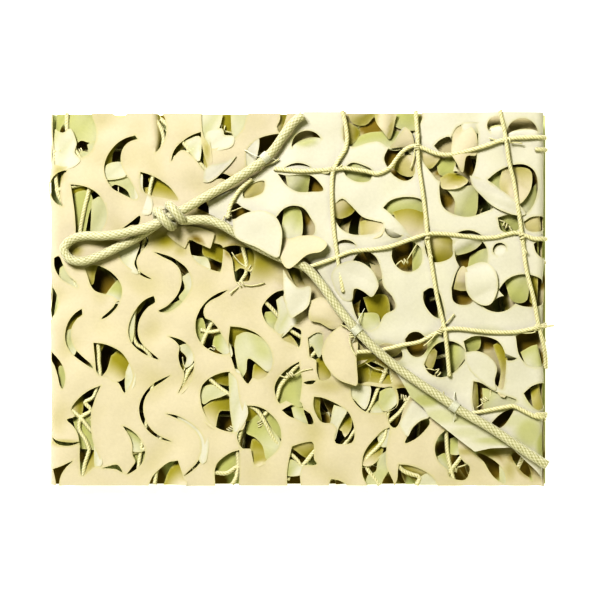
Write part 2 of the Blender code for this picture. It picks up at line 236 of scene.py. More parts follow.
class Finish:
    """A material of one Principled BSDF, whose nodes all come from node()."""

    def __init__(self, name, **uniform):
        self.material = bpy.data.materials.new(name)
        self.material.use_nodes = True
        self.tree = self.material.node_tree
        self.shader = self.tree.nodes["Principled BSDF"]
        for socket, value in uniform.items():
            self.shader.inputs[socket.replace("_", " ")].default_value = value

    def node(self, kind, settings=(), sockets=(), output=0):
        """Adds a node with its settings and its sockets' values or links, and gives one output."""
        made = self.tree.nodes.new(kind)
        for key, value in dict(settings).items():
            if key == "stops":
                while len(made.color_ramp.elements) < len(value):
                    made.color_ramp.elements.new(0.5)
                for element, (place, colour) in zip(made.color_ramp.elements, value):
                    element.position = place
                    element.color = (*colour, 1.0)
            else:
                setattr(made, key, value)
        for key, value in dict(sockets).items():
            if isinstance(value, Value):
                self.tree.links.new(value.socket, made.inputs[key])
            elif isinstance(value, tuple) and len(value) == 3 and made.inputs[key].type == "RGBA":
                made.inputs[key].default_value = (*value, 1.0)
            else:
                made.inputs[key].default_value = value
        return Value(self.tree, made.outputs[output])

    def feed(self, socket, value):
        self.tree.links.new(value.socket, self.shader.inputs[socket])

    def attribute(self, name):
        return self.node("ShaderNodeAttribute", {"attribute_name": name}, output="Fac")

    def speckle(self, scale, detail=2.0, roughness=0.5):
        """Noise of about 0 to 1 in the object's own place, at so many lumps to the metre."""
        place = self.node("ShaderNodeTexCoord", output="Object")
        settings = {"Vector": place, "Scale": scale, "Detail": detail, "Roughness": roughness}
        return self.node("ShaderNodeTexNoise", sockets=settings, output="Fac")

    def mix(self, share, first, second, blend="MIX"):
        settings = {"data_type": "RGBA", "blend_type": blend, "clamp_factor": True}
        return self.node("ShaderNodeMix", settings, {0: share, 6: first, 7: second}, output=2)

    def bump(self, height, depth, strength=1.0):
        sockets = {"Height": height, "Distance": depth, "Strength": strength}
        self.feed("Normal", self.node("ShaderNodeBump", sockets=sockets))


class Surround(Finish):
    """The soft light all round the studio, whose nodes come from the same method."""

    def __init__(self, name):
        self.world = bpy.data.worlds.new(name)
        self.world.use_nodes = True
        self.tree = self.world.node_tree
        self.shader = self.tree.nodes["Background"]


# Each pair is the cloth's own colour, then painted shade: the olive the cloth turns where it lies in shade
SAND_COLOUR = (0.450, 0.405, 0.328)
SAND_PAINTED_SHADE = (0.240, 0.215, 0.030)
BACK_COLOUR = (0.456, 0.438, 0.402)
BACK_PAINTED_SHADE = (0.320, 0.325, 0.150)
# Painted deep shade: a dark brown put where holes show only deep shadow
DEEP_SHADE_PAINT = (0.182, 0.135, 0.022)
# The colour of the thin band along each cut
CUT_EDGE_TONE = (0.40, 0.38, 0.22)
WEAVE = 0.0006  # from thread to thread of the scrim


def scrim_finish(name, own_colour, painted_shade):
    """Coated woven scrim: its own colour, painted shade where shaded, a darker olive band along its cuts."""
    finish = Finish(name, Roughness=0.78, Specular_IOR_Level=0.25, Sheen_Weight=0.15)
    shade = finish.attribute("shade")
    clouds = finish.speckle(28.0, 3.0)
    grain = finish.speckle(420.0, 2.0)
    # kept is how much painted shade the cloth gets, from its shade attribute with some random mottle
    kept = (shade + (clouds - 0.5) * 0.35).within(0.0, 1.0)
    colour = finish.mix(kept, own_colour, painted_shade)
    # Painted deep shade over it, where the deep-shade mask says
    colour = finish.mix(finish.attribute("deep"), colour, DEEP_SHADE_PAINT)
    mottle = (clouds - 0.5) * 0.16 + (grain - 0.5) * 0.10 + 1.0
    tone = finish.node("ShaderNodeCombineColor", sockets={"Red": mottle, "Green": mottle, "Blue": mottle})
    colour = finish.mix(1.0, colour, tone, "MULTIPLY")
    # A thin band along each cut is darker and more olive than the cloth
    near_cut = (finish.attribute("cut") * (grain + 0.35)).within(0.25, 0.9)
    finish.feed("Base Color", finish.mix(near_cut * 0.5, colour, CUT_EDGE_TONE))
    finish.feed("Roughness", 0.70 + grain * 0.18)
    flat = finish.node("ShaderNodeUVMap", {"uv_map": "cloth"})
    across = finish.node("ShaderNodeSeparateXYZ", sockets={"Vector": flat}, output="X")
    along = Value(finish.tree, across.socket.node.outputs["Y"])
    per_metre = math.pi / WEAVE
    threads = (across * per_metre).sine() * (along * per_metre).sine()
    creases = finish.speckle(70.0, 4.0, 0.6)
    finish.bump(threads * 0.25 + creases * 4.0 + grain * 0.6, 0.00025, 0.6)
    return finish.material


def cord_finish(name, pale, deep, sheen):
    """Laid or braided fibre: pale on the strands, with painted shade deeper in the grooves between them."""
    finish = Finish(name, Roughness=0.6, Specular_IOR_Level=0.35, Sheen_Weight=sheen)
    groove = finish.attribute("groove")
    fibre = finish.speckle(900.0, 2.0)
    worn = finish.speckle(60.0, 2.0)
    # depth: how much painted groove shade, with random fibre and wear tone
    depth = (groove * 1.1 + (fibre - 0.5) * 0.5 + (worn - 0.5) * 0.3).within(0.0, 1.0)
    finish.feed("Base Color", finish.mix(depth, pale, deep))
    finish.feed("Roughness", 0.55 + groove * 0.25)
    finish.bump(fibre, 0.0002, 0.5)
    return finish.material


def floor_finish():
    finish = Finish("studio_floor", Roughness=0.9, Specular_IOR_Level=0.1)
    finish.shader.inputs["Base Color"].default_value = (0.93, 0.93, 0.93, 1.0)
    finish.shader.inputs["Emission Color"].default_value = (1.0, 1.0, 1.0, 1.0)
    finish.shader.inputs["Emission Strength"].default_value = 0.40
    return finish.material


SCRIM_FACE = scrim_finish("scrim_face", SAND_COLOUR, SAND_PAINTED_SHADE)
SCRIM_BACK = scrim_finish("scrim_back", BACK_COLOUR, BACK_PAINTED_SHADE)
# The base's cord side, painted lighter than the scrim's back to make up for the shade it lies in; its second
# colour is painted shade
BASE_BACK_PAINTED_LIGHT = scrim_finish("scrim_back_below_painted_light", (0.620, 0.640, 0.420), (0.520, 0.550, 0.310))
# The second colour of each cord is painted shade for the grooves between its strands
ROPE_FIBRE = cord_finish("rope_braid", (0.54, 0.52, 0.41), (0.19, 0.18, 0.075), 0.3)
NET_FIBRE = cord_finish("net_cord", (0.56, 0.53, 0.39), (0.28, 0.26, 0.12), 0.2)
TWINE_FIBRE = cord_finish("tie_twine", (0.60, 0.60, 0.55), (0.34, 0.33, 0.26), 0.2)


# ---------------------------------------------------------------- making pieces
def piece_of(name, verts, faces, materials):
    """An object of a mesh at the origin, riding on the netting's one body."""
    mesh = bpy.data.meshes.new(name)
    mesh.from_pydata([tuple(vert) for vert in verts], [], faces)
    mesh.validate()
    for material in materials:
        mesh.materials.append(material)
    mesh.shade_smooth()
    made = bpy.data.objects.new(name, mesh)
    bpy.context.scene.collection.objects.link(made)
    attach(made, "root")
    return made


def give(piece, attribute, values):
    piece.data.attributes.new(attribute, "FLOAT", "POINT").data.foreach_set("value", values)


def eased(points, spacing):
    """Points about spacing apart on a smooth curve through the given ones."""
    padded = [points[0] * 2 - points[1], *points, points[-1] * 2 - points[-2]]
    found = []
    for before, start, end, after in zip(padded, padded[1:], padded[2:], padded[3:]):
        bend = 2 * before - 5 * start + 4 * end - after
        twist = 3 * start - before - 3 * end + after
        steps = max(1, round((end - start).length / spacing))
        for t in (step / steps for step in range(steps)):
            found.append(start + (t * (end - before) + t**2 * bend + t**3 * twist) / 2)
    return [*found, points[-1]]


def evened(points, spacing):
    """The same line with its points at even steps."""
    runs = [0.0]
    for start, end in zip(points, points[1:]):
        runs.append(runs[-1] + (end - start).length)
    count = max(2, round(runs[-1] / spacing))
    found, at = [], 0
    for step in range(count + 1):
        run = runs[-1] * step / count
        while at < len(runs) - 2 and runs[at + 1] < run:
            at += 1
        span = max(1e-9, runs[at + 1] - runs[at])
        found.append(points[at].lerp(points[at + 1], min(1.0, (run - runs[at]) / span)))
    return found


class Tubes:
    """Tubes along lines, gathered into one mesh. profile(run, turn) gives radius and groove there."""

    def __init__(self):
        self.verts = []
        self.faces = []
        self.grooves = []

    def add(self, points, sides, profile):
        normal = None
        run = 0.0
        first = len(self.verts)
        for index, point in enumerate(points):
            ahead = points[min(index + 1, len(points) - 1)] - points[max(index - 1, 0)]
            ahead.normalize()
            if normal is None:
                normal = ahead.orthogonal().normalized()
            else:
                run += (point - points[index - 1]).length
                normal = (normal - ahead * normal.dot(ahead)).normalized()
            other = ahead.cross(normal)
            for side in range(sides):
                turn = math.tau * side / sides
                radius, groove = profile(run, turn)
                self.verts.append(point + (normal * math.cos(turn) + other * math.sin(turn)) * radius)
                self.grooves.append(groove)
        rings = len(points)
        for ring in range(rings - 1):
            start = first + ring * sides
            for side in range(sides):
                after = (side + 1) % sides
                self.faces.append((start + side, start + after, start + sides + after, start + sides + side))
        self.faces.append(tuple(first + side for side in reversed(range(sides))))
        self.faces.append(tuple(first + (rings - 1) * sides + side for side in range(sides)))

    def piece(self, name, material, slot):
        made = piece_of(name, self.verts, self.faces, [material])
        # groove marks how deep in a groove each point lies; the cord finish paints shade by it
        give(made, "groove", self.grooves)
        return made


def laid(diameter, strands, lay, depth=0.16):
    """The profile of a cord laid up from strands, which turn once round it in the length lay."""

    def profile(run, turn):
        lobe = abs(math.cos(strands / 2 * (turn - math.tau * run / lay)))
        return diameter / 2 * (1 - depth + depth * lobe), (1 - lobe) ** 1.5

    return profile


def braided(diameter, carriers, pitch):
    """The profile of a braid, of carriers turning each way, whose crossings repeat at pitch along it."""

    def profile(run, turn):
        around = turn * carriers / math.tau
        left, right = around + run / pitch, around - run / pitch
        over = (math.floor(left) + math.floor(right)) % 2
        place = (left if over else right) % 1.0
        across = (right if over else left) % 1.0
        crown = math.sin(math.pi * place) ** 0.6 * (0.55 + 0.45 * math.sin(math.pi * across))
        return diameter / 2 * (0.87 + 0.16 * crown), (1 - crown) ** 1.1

    return profile


# ---------------------------------------------------------------- border rope
ROPE_TO_KNOT = pairs(
    303, 116, 295, 122, 285, 134, 273, 151, 258, 165, 240, 177, 217, 191, 203, 199,
)
KNOT_RIGHT = (184, 210)
KNOT_LEFT = (152, 226)
LOOP = pairs(
    126, 233, 104, 236, 84, 236, 71, 240, 64, 249, 70, 259, 84, 261, 101, 255, 118, 247, 134, 239,
)
ROPE_FROM_KNOT = pairs(
    206, 220, 222, 225, 240, 236, 262, 249, 288, 261, 305, 267, 321, 284, 335, 304, 352, 325, 369, 343,
    389, 361, 412, 378, 436, 394, 460, 410, 491, 428, 516, 445, 531, 455, 545, 464,
)
# The knot turns round the strand it holds, and the loop rises to it over its first points
LOOP_RISE = 0.0075
LOOP_RISE_POINTS = 2.5
WRAP_R = 0.0090
WRAP_TURNS = 1.75
WRAP_POINTS = 24
WRAP_START = 0.0070
WRAP_END = 0.0040
# How high the rope's middle lies over the corner and over the middle layer
ROPE_REST = 0.0062
ROPE_FLOOR = 0.0054
ROPE_SIDES = 30
ROPE_RING = 0.0009
SMOOTHING = 0.0020  # step of the curve that a cord's own points are laid on
CARRIERS = 8
BRAID_PITCH = 0.0052


def on_flap(route):
    return [Vector((*from_pixel(*pixel), flap_height(*from_pixel(*pixel)) + ROPE_REST)) for pixel in route]


def held_strand():
    """The strand that the knot holds, from right to left, as high as the turns under it need."""
    between = [(a + b) / 2 for a, b in zip(KNOT_RIGHT, KNOT_LEFT)]
    height = middle_height(*from_pixel(*between)) + ROPE_FLOOR + WRAP_R
    return [Vector((*from_pixel(*pixel), height)) for pixel in (KNOT_RIGHT, KNOT_LEFT)]


def knot_turns():
    """The knot's turns round the held strand, from left to right, starting under it."""
    right, left = held_strand()
    axis = (right - left).normalized()
    up = Vector((0, 0, 1))
    side = up.cross(axis)
    advance = (right - left).length - WRAP_START - WRAP_END
    turns = []
    for step in range(WRAP_POINTS + 1):
        share = step / WRAP_POINTS
        angle = -math.pi / 2 + math.tau * WRAP_TURNS * share
        around = side * math.cos(angle) + up * math.sin(angle)
        turns.append(left + axis * (WRAP_START + advance * share) + around * WRAP_R)
    return turns


def loop_points():
    points = []
    for index, pixel in enumerate(LOOP):
        x, y = from_pixel(*pixel)
        rise = LOOP_RISE * smooth(1 - index / LOOP_RISE_POINTS)
        points.append(Vector((x, y, middle_height(x, y) + ROPE_FLOOR + rise)))
    return points


def rope_route():
    """The rope's own points, far cut edge to near side, through the loop and the knot."""
    return on_flap(ROPE_TO_KNOT) + held_strand() + loop_points() + knot_turns() + on_flap(ROPE_FROM_KNOT)


def border_rope():
    line = evened(eased(rope_route(), SMOOTHING), ROPE_RING)
    tubes = Tubes()
    tubes.add(line, ROPE_SIDES, braided(ROPE, CARRIERS, BRAID_PITCH))
    rope = tubes.piece("border_rope_braid", ROPE_FIBRE, "rope")
    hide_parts("border_rope")
    return rope, line


SEIZINGS = (("seizing_upper", 264, 160), ("seizing_middle", 356, 330), ("seizing_lower", 456, 407))
SEIZING_TURNS = 7
SEIZING_STEPS = 12  # points to a turn
SEIZING_PITCH = 1.05  # from turn to turn, in thicknesses of the twine
SEIZING_TAIL = 0.014
TAIL_ALONG = 0.004
TAIL_SHARES = (0.25, 0.6, 1.0)
ROPE_CHORD = 0.0125
TWINE_SIDES = 7
TWINE_RING = 0.0012


def seizing_tail(way, root, axis, side, up):
    """One end of a seizing's twine, from the rope outwards."""
    found = []
    for share, drop in zip(TAIL_SHARES, (1, 2, 3)):
        out = root + side * (SEIZING_TAIL * way * share) + axis * (TAIL_ALONG * way * share)
        found.append(out + up * (0.0012 - 0.004 * drop))
    return found


def seizing(name, px, py):
    """Twine wound tight round the rope, with its two ends left standing out."""
    place = Vector((*from_pixel(px, py), FLAP_Z))
    chords = eased(rope_route(), ROPE_CHORD)
    start, end = min(zip(chords, chords[1:]), key=lambda pair: ((pair[0] + pair[1]) / 2 - place).length)
    axis = (end - start).normalized()
    middle = (start + end) / 2
    side = axis.cross(Vector((0, 0, 1))).normalized()
    up = side.cross(axis)
    reach = ROPE / 2 + TWINE * 0.45
    half = SEIZING_TURNS * TWINE * SEIZING_PITCH / 2
    tails = []
    for way in (-1, 1):
        root = middle + axis * (half * way + TWINE * way) + side * (reach * way)
        tails.append(seizing_tail(way, root, axis, side, up))
    turns = []
    steps = SEIZING_TURNS * SEIZING_STEPS
    for step in range(steps + 1):
        share = step / steps
        angle = math.pi + math.tau * (SEIZING_TURNS + 0.5) * share
        around = side * math.cos(angle) + up * math.sin(angle)
        turns.append(middle + axis * (half * (2 * share - 1)) + around * reach)
    tubes = Tubes()
    whole = [*tails[0][::-1], *turns, *tails[1]]
    tubes.add(eased(whole, TWINE_RING), TWINE_SIDES, laid(TWINE, 2, 0.003))
    made = tubes.piece(f"{name}_twine", TWINE_FIBRE, "twine")
    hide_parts(name)
    return made


rope, rope_line = border_rope()
seizings = [seizing(*row) for row in SEIZINGS]
[tuple(point) for point in rope_line[:-4:8] + rope_line[-1:]]

# ---------------------------------------------------------------- slit scrim
# A slit is an arc from (ax, ay) through (mx, my) to (bx, by) in pixels. The tongue inside it curls down by
# curl degrees, or up where curl is below 0.
Slit = namedtuple("Slit", "ax ay mx my bx by curl")
MIDDLE_SLITS = (
    Slit(66, 170, 48, 188, 62, 206, 125),
    Slit(150, 100, 166, 130, 155, 152, 95),
)
FLAP_SLITS = (
    # hinged below
    Slit(276, 244, 287, 241, 300, 246, 60),
    Slit(334, 246, 345, 240, 356, 246, 80),
    Slit(285, 168, 297, 163.5, 311, 168, 70),
    Slit(506, 138, 522, 119, 537, 134, 150),
    Slit(490, 133, 497, 117, 503, 131, 130),
    Slit(292, 148, 305, 131, 321, 139, 140),
    Slit(453, 236, 467, 230.5, 481, 236, 110),
    Slit(496, 256, 499, 243, 506, 250, 60),
    # hinged above
    Slit(384, 228, 392, 238, 402, 236, 60),
    Slit(497, 350, 506, 360, 516, 358, 50),
)
# Holes of the middle layer and of the corner: outlines in pixels
MIDDLE_HOLES = [pairs(*row) for row in (
    (50, 108, 86, 108, 92, 118, 95.5, 128, 95.5, 138, 92, 148, 87, 154, 80, 158, 74, 163, 66, 166, 57, 165,
        50.5, 158),
    (109, 108, 127, 108, 126, 114, 121, 116.5, 114, 114.5),
    (134.5, 135, 126, 137.5, 118, 142, 111, 149, 106.5, 156, 103.8, 164, 104, 173, 107, 181, 112, 188,
        118, 191.5, 126, 195.5, 133, 199, 137.5, 197, 134, 188, 129, 179, 123.5, 171, 120.3, 163, 120, 155,
        122.5, 147.5, 127.5, 142, 133, 139.5, 137, 138.5),
    (140, 171.5, 148, 174, 156, 177.5, 164, 182.5, 170, 187.5, 175, 194, 178, 200, 170, 199, 160, 197,
        150, 195, 142, 190, 139.5, 180),
    (70, 184, 79, 185, 88, 187.5, 96, 192.5, 102, 200, 105.5, 209, 105.5, 219, 102, 228, 97, 236, 84, 240,
        76, 238, 75, 226, 74, 212, 72, 197),
    (122, 228, 131, 221.5, 139.5, 215.5, 138, 224, 131, 224.5, 126, 227),
    (200.5, 131.5, 193, 134, 185, 138.5, 177, 145.5, 172.5, 153, 171, 161, 174, 156, 179, 150.5, 184, 149.5,
        190, 154, 196, 160, 202, 168, 206, 171, 207, 165, 203, 152, 201, 140),
    (201, 108, 246, 108, 245.5, 118, 243, 127, 237, 135, 232, 140, 226, 141, 220, 146, 212, 148, 206, 140,
        202, 130),
    (216, 179, 221, 173.5, 226, 174, 233, 178.5, 226, 179.5, 221, 178),
    (246, 165, 246, 152, 250, 145, 258, 138.5, 268, 135, 281, 133.5, 284, 138, 276, 146, 262, 155,
        254, 165),
    (280, 108, 287, 108, 286, 117, 283, 126, 279.5, 132, 277, 126, 280, 119),
    (208, 201, 216, 196, 228, 190, 240, 186, 238, 193, 232, 201, 226, 204, 216, 203),
    (197, 208, 205, 201.5, 208, 205, 212, 213, 206, 212),
    (224, 210, 228, 209, 228, 215, 231, 224, 226, 218),
    (53, 258, 53.5, 266, 57, 274, 62, 280, 69, 284, 77, 287.5, 75, 282, 69, 277, 64.5, 270, 61, 262,
        58, 256),
    (84, 268, 92, 265, 100, 266.5, 108, 270.5, 115, 276.5, 120, 284, 121.5, 292, 119, 300, 112, 296,
        104, 294, 95, 291, 90, 285, 87, 276),
    (119, 301, 117, 306, 112, 312, 106, 317, 101, 319, 102, 317, 108, 312, 113, 307, 116, 302),
    (81, 309, 75, 313, 69, 320, 65.5, 328, 64.3, 338, 66.5, 347, 72.5, 355, 81, 361.5, 92, 368.5, 90, 364,
        82, 357, 75.5, 350.5, 71, 342, 70, 333, 72, 325, 77, 318, 81.5, 315),
    (153, 296, 145, 299.5, 138, 306, 132.5, 314.5, 129, 323, 127.8, 332, 130, 341, 135.5, 348, 143, 353.5,
        150, 357, 158, 359.5, 151, 353, 143.5, 346.5, 139, 340, 137, 332, 138, 322.5, 142, 313.5,
        148, 306.5, 154.5, 302),
    (93, 343, 102, 343.8, 111, 346.8, 119.5, 351.5, 126, 359, 130.5, 369, 132, 378, 128, 388, 124, 393,
        121, 388, 118, 383, 112, 380, 106, 377, 100, 376, 96, 372, 94.5, 358),
    (48, 352, 54, 356, 60, 363, 63.5, 371, 64.5, 380, 62, 389, 59, 385, 57, 376, 53, 366, 48, 360),
    (46, 287, 50, 288.5, 54, 293, 57, 301, 56.5, 309, 52, 316, 46, 320),
    (153, 251.5, 162, 254, 171, 257, 179, 262, 186, 268, 190, 276, 191, 285, 188, 293, 184, 299.5, 179, 305,
        172, 310, 165, 312.5, 158, 311, 166, 306.5, 173, 300, 178, 293, 181, 284, 181, 275, 178.5, 267.5,
        172, 261.5, 163, 257),
    (116, 246, 126, 243, 137, 244, 146, 236, 148, 242, 142, 250, 137, 257, 136, 264, 140, 272, 151, 279,
        143, 276.5, 136, 272, 128, 267, 121, 260),
    (189, 241, 197, 240, 206, 241.5, 214, 243, 222, 246, 222.5, 256, 221, 268, 220, 271.5, 213, 270,
        205, 266.5, 197, 262, 191, 254),
    (221, 248, 231, 245.5, 240, 246, 252, 250, 254, 262, 250, 276, 248, 281, 241, 281, 236, 281.5,
        233.5, 270, 232, 259, 228, 252),
    (227.5, 290, 218.5, 293, 209.5, 298.5, 203, 305, 198.5, 312.5, 195.5, 321, 195.5, 331, 198, 339,
        203.5, 346, 210, 350.5, 217, 353.5, 225, 354.5, 229, 352, 226.5, 344, 222, 336, 216.5, 327,
        210.5, 320.5, 205, 318.5, 203, 312, 205, 305.5, 211, 300, 219, 296),
    (230, 326.5, 240, 327.5, 250, 330.5, 259, 335.5, 266, 342.5, 271, 351, 272.5, 361, 270.5, 370, 268, 373,
        265, 377, 258, 379.5, 252, 378, 248, 384, 244, 380, 240, 374, 236, 372, 232.5, 362, 229, 351,
        228.5, 341),
    (285, 290, 277, 291.8, 270, 296.5, 265, 302, 261.7, 309, 263.5, 317, 267, 323.5, 273, 329, 281, 334,
        290, 327, 296, 320, 290, 315, 287, 307, 283, 298),
    (281, 337, 285, 331, 291, 326.5, 297, 328.5, 301, 331, 300.5, 340, 299, 347, 290, 343, 284, 340.5),
    (168, 336.5, 177, 338.7, 185, 343, 190.5, 350, 193.5, 360, 193, 370, 190, 380, 184, 388, 178, 393,
        182, 384, 184, 374, 180, 366, 178, 356, 179, 347, 175, 341),
    (100, 386, 91, 389.5, 83, 394.5, 76, 401, 70.5, 409.5, 74, 417, 66, 420, 72, 426, 77, 434, 79, 446,
        79, 460, 80.5, 476, 86, 474, 93, 468, 100, 465, 97, 455, 93, 445, 90.5, 432, 90, 415, 92, 406,
        95, 397),
    (46, 436, 54, 440.5, 63, 442.5, 72, 443, 80, 442, 72, 445.5, 62, 446, 53, 442.5),
    (51, 470, 60, 467, 72, 461.5, 66, 467, 61, 474, 58.5, 482, 58, 492, 56, 492, 54, 480),
    (101, 469, 109, 466.5, 117, 465.5, 122, 473, 116, 470, 108, 469),
    (122.5, 426.5, 129, 429.5, 136, 435, 141, 442, 144, 449, 144, 457, 141, 464, 135, 470, 126.5, 475,
        131, 468.5, 135, 462, 132, 455, 132, 446, 129, 437),
    (170, 375.5, 161, 379.5, 153, 384, 146, 391, 141, 399, 138.7, 408, 140, 418, 144.5, 427, 151, 434,
        160, 439.5, 171, 442, 160, 437, 152, 431, 146.5, 423.5, 143.2, 415, 142.5, 406, 144.5, 398,
        149, 391, 155, 386, 162, 381.5),
    (165.5, 414, 175, 415.5, 184, 419.5, 192, 425, 198.5, 431, 203, 439, 204.5, 448, 203, 457, 199, 464,
        192, 471, 183.5, 476.5, 190, 470, 196, 464, 200, 457, 201.5, 448, 200.5, 440, 197, 433, 191, 427,
        183, 421.5, 174, 417.5),
    (177.5, 461, 168, 463, 160, 469, 153, 476, 149, 484, 148, 492, 184, 492, 183, 478, 180, 468),
    (229, 372, 220, 373.5, 210, 378, 202.5, 385, 200, 393, 200.5, 402, 203, 411, 208, 420, 215, 427,
        224, 431, 234, 432.5, 238, 430, 240, 423, 243, 415, 240, 404, 238, 392, 236, 380),
    (245, 406, 254, 406.3, 263, 409, 271, 415, 277, 422, 280.5, 430, 281, 440, 278.5, 449, 272, 456,
        267.5, 459.5, 263, 464, 255, 466, 252, 456, 250, 449, 243, 449, 238, 442, 237, 432, 243, 430,
        246, 420),
    (299, 362, 291, 366.5, 283, 373, 277.5, 380, 274.5, 388, 276, 397, 280, 404, 286, 401, 292, 404,
        299, 402, 301, 392, 302, 380, 300, 370),
    (282, 410.5, 290, 406, 300, 401.5, 304, 410, 310, 414, 313.5, 424, 306, 424, 298, 420, 289, 416.5),
    (292, 447, 301, 444, 312, 442.5, 314, 449, 314, 460, 317, 464, 313, 466, 304, 466, 300, 475, 300, 492,
        289, 492, 287, 478, 288, 466, 290, 456),
    (239, 450.5, 231, 453, 223, 458, 217, 464, 214.5, 472, 215, 482, 216, 492, 227, 492, 237, 492, 239, 478,
        239, 464),
    (314, 397, 322, 398, 330, 401, 338, 405, 346, 410, 351, 417, 354, 427, 354.5, 437, 352, 443, 345, 444.5,
        336, 443.5, 335, 437, 337, 430, 333, 424, 322, 422.5, 316, 414, 313.5, 406),
    (351, 388, 358, 386, 370, 386, 377, 387, 385, 388, 392, 387, 396, 395, 397, 406, 390, 411, 381, 413,
        370, 413, 364, 411, 357, 405, 352, 397),
    (357, 366, 362, 361, 368, 358, 376, 361, 384, 366, 390, 370, 393, 383, 384, 384, 376, 383, 368, 382,
        358, 383),
    (397, 389, 404, 388, 410, 391, 411, 396, 407, 404, 403, 412, 400, 422, 396, 428, 391, 426, 388, 418,
        387, 413, 392, 411, 398, 406, 399, 397),
    (429, 419, 430, 424, 424, 432, 416, 439, 405.5, 443.5, 409, 435, 415, 427, 422, 421.5),
    (390, 428, 383, 431, 376, 438, 369, 446, 364, 455, 362.5, 465, 363, 476, 368, 487, 370, 492, 394, 492,
        394, 484, 391, 477, 387, 468, 386, 456, 387, 446, 389, 436),
    (447, 430, 452, 432, 457.5, 437, 458.5, 446, 460, 456, 464, 462, 470, 467, 469.5, 474, 466, 480,
        459, 480.5, 450, 477, 448, 470, 443, 466, 438, 460, 435.5, 452, 436, 444, 440, 436),
    (473, 451, 480, 453.5, 488, 457, 496, 462, 502, 468, 505.5, 475, 506, 484, 500, 482, 494, 477, 489, 470,
        485, 463, 479, 457),
    (511, 453, 518, 453.5, 524, 458, 528, 464, 531, 471, 533, 482, 530, 478, 524, 474, 519, 468, 514, 461),
    (543, 452, 553, 451, 553, 464, 548, 463, 544, 458),
    (399, 465, 408, 465.5, 418, 468.5, 427, 473, 434, 479, 438, 486, 439, 492, 398, 492, 398, 478),
    (331, 480, 338, 481, 346, 485, 352, 492, 329, 492),
    (308, 338, 316, 333, 322, 334, 323, 344, 321, 352, 324, 360, 331, 376, 321, 381, 317, 372, 316, 360,
        310, 357, 309, 348),
    (303, 383, 309, 381, 316, 381, 313, 384, 307, 384.5),
    (287, 269, 293, 267, 299, 270, 302, 279, 305, 286, 299, 289, 294, 283),
)]
CORNER_HOLES = [pairs(*row) for row in (
    (344, 118, 350, 112, 395, 112, 421, 112, 420, 124, 412, 134, 404, 127, 396, 138, 390, 148, 379, 142,
        368, 143, 352, 147, 343, 138),
    (388, 149, 384, 158, 387, 167, 394, 176, 404, 181, 412, 178, 415, 169, 412, 156, 398, 146),
    (421, 152, 432, 156, 444, 157, 453, 155, 455, 163, 448, 181, 438, 181, 430, 172, 423, 162),
    (434, 146, 440, 140, 449, 137, 452, 144, 451, 153, 441, 153),
    (451, 137, 457, 127, 468, 124, 477, 129, 477, 150, 474, 170, 468, 179, 460, 174, 453, 160),
    (440, 178, 448, 172, 462, 173, 472, 181, 486, 196, 493, 207, 484, 212, 468, 217, 452, 214, 442, 206,
        439, 190),
    (487, 180, 497, 172, 510, 166, 523, 165, 533, 171, 537, 184, 534, 202, 526, 213, 517, 211, 505, 195,
        494, 187),
    (497, 218, 508, 215, 519, 218, 518, 229, 509, 233, 500, 230),
    (523, 222, 532, 217, 546, 218, 546, 229, 535, 232, 526, 230),
    (383, 208, 390, 201, 402, 197.5, 415, 198, 423, 203, 423, 222, 423, 234, 412, 236, 401, 225, 391, 215),
    (335, 204, 342, 199, 350, 205, 362, 217, 374, 221, 383, 224, 378, 232, 364, 235, 350, 234, 339, 227,
        334, 214),
    (343, 170, 352, 163, 364, 166, 372, 171, 369, 181, 357, 182, 347, 177),
    (276, 218, 284, 209, 294, 206, 304, 209, 311, 219, 315, 227, 313, 235, 300, 236, 288, 238, 281, 228),
    (278, 174, 288, 176, 300, 175, 311, 176, 320, 184, 323, 191, 312, 192, 298, 192, 287, 186),
    (232, 208, 236, 203, 243, 208, 251, 212, 241, 216, 233, 219),
    (243, 192, 252, 184, 264, 181, 263, 192, 253, 197, 244, 198),
    (392, 247, 399, 242, 411, 242, 420, 248, 422, 259, 418, 268, 409, 272, 399, 269, 392, 259),
    (424, 239, 437, 236, 450, 238, 453, 247, 451, 257, 440, 262, 430, 261, 425, 250),
    (454, 243, 466, 238, 478, 239, 486, 248, 487, 261, 483, 271, 474, 275, 462, 270, 455, 258),
    (533, 244, 540, 240, 549, 240, 549, 256, 541, 258, 535, 252),
    (498, 290, 506, 280, 517, 275, 530, 275, 542, 280, 549, 287, 549, 300, 538, 306, 522, 306, 507, 299),
    (451, 288, 456, 272, 463, 264, 470, 274, 474, 289, 472, 302, 462, 305, 453, 301),
    (352, 262, 358, 254, 367, 252, 376, 258, 381, 272, 383, 286, 392, 297, 395, 308, 384, 315, 377, 327,
        366, 330, 357, 318, 352, 302, 350, 284),
    (423, 292, 430, 288, 438, 292, 442, 303, 444, 317, 435, 317, 427, 309, 423, 300),
    (479, 303, 490, 303, 499, 297, 510, 296, 517, 300, 508, 309, 497, 312, 486, 309),
    (463, 341, 474, 336, 487, 337, 498, 342, 504, 353, 505, 368, 502, 389, 493, 382, 484, 376, 470, 364),
    (473, 381, 481, 383, 492, 390, 504, 395, 516, 400, 508, 406, 496, 409, 483, 411, 475, 411, 472, 398),
    (515, 336, 526, 331, 538, 331, 547, 333, 549, 346, 547, 363, 538, 367, 527, 365, 518, 354),
    (523, 393, 531, 386, 540, 383, 548, 385, 548, 403, 538, 410, 529, 403),
    (405, 339, 410, 333, 418, 332, 425, 338, 427, 348, 421, 356, 413, 356, 407, 349),
    (424, 364, 430, 351, 438, 343, 450, 341, 461, 346, 466, 356, 459, 367, 449, 375, 438, 377, 428, 372),
    (489, 425, 497, 416, 506, 410, 513, 409, 509, 417, 503, 425, 495, 429),
    (375, 348, 384, 344, 394, 345, 401, 350, 402, 358, 396, 361, 386, 355),
    (448, 160, 443, 166, 434, 170, 430, 160, 438, 157),
)]


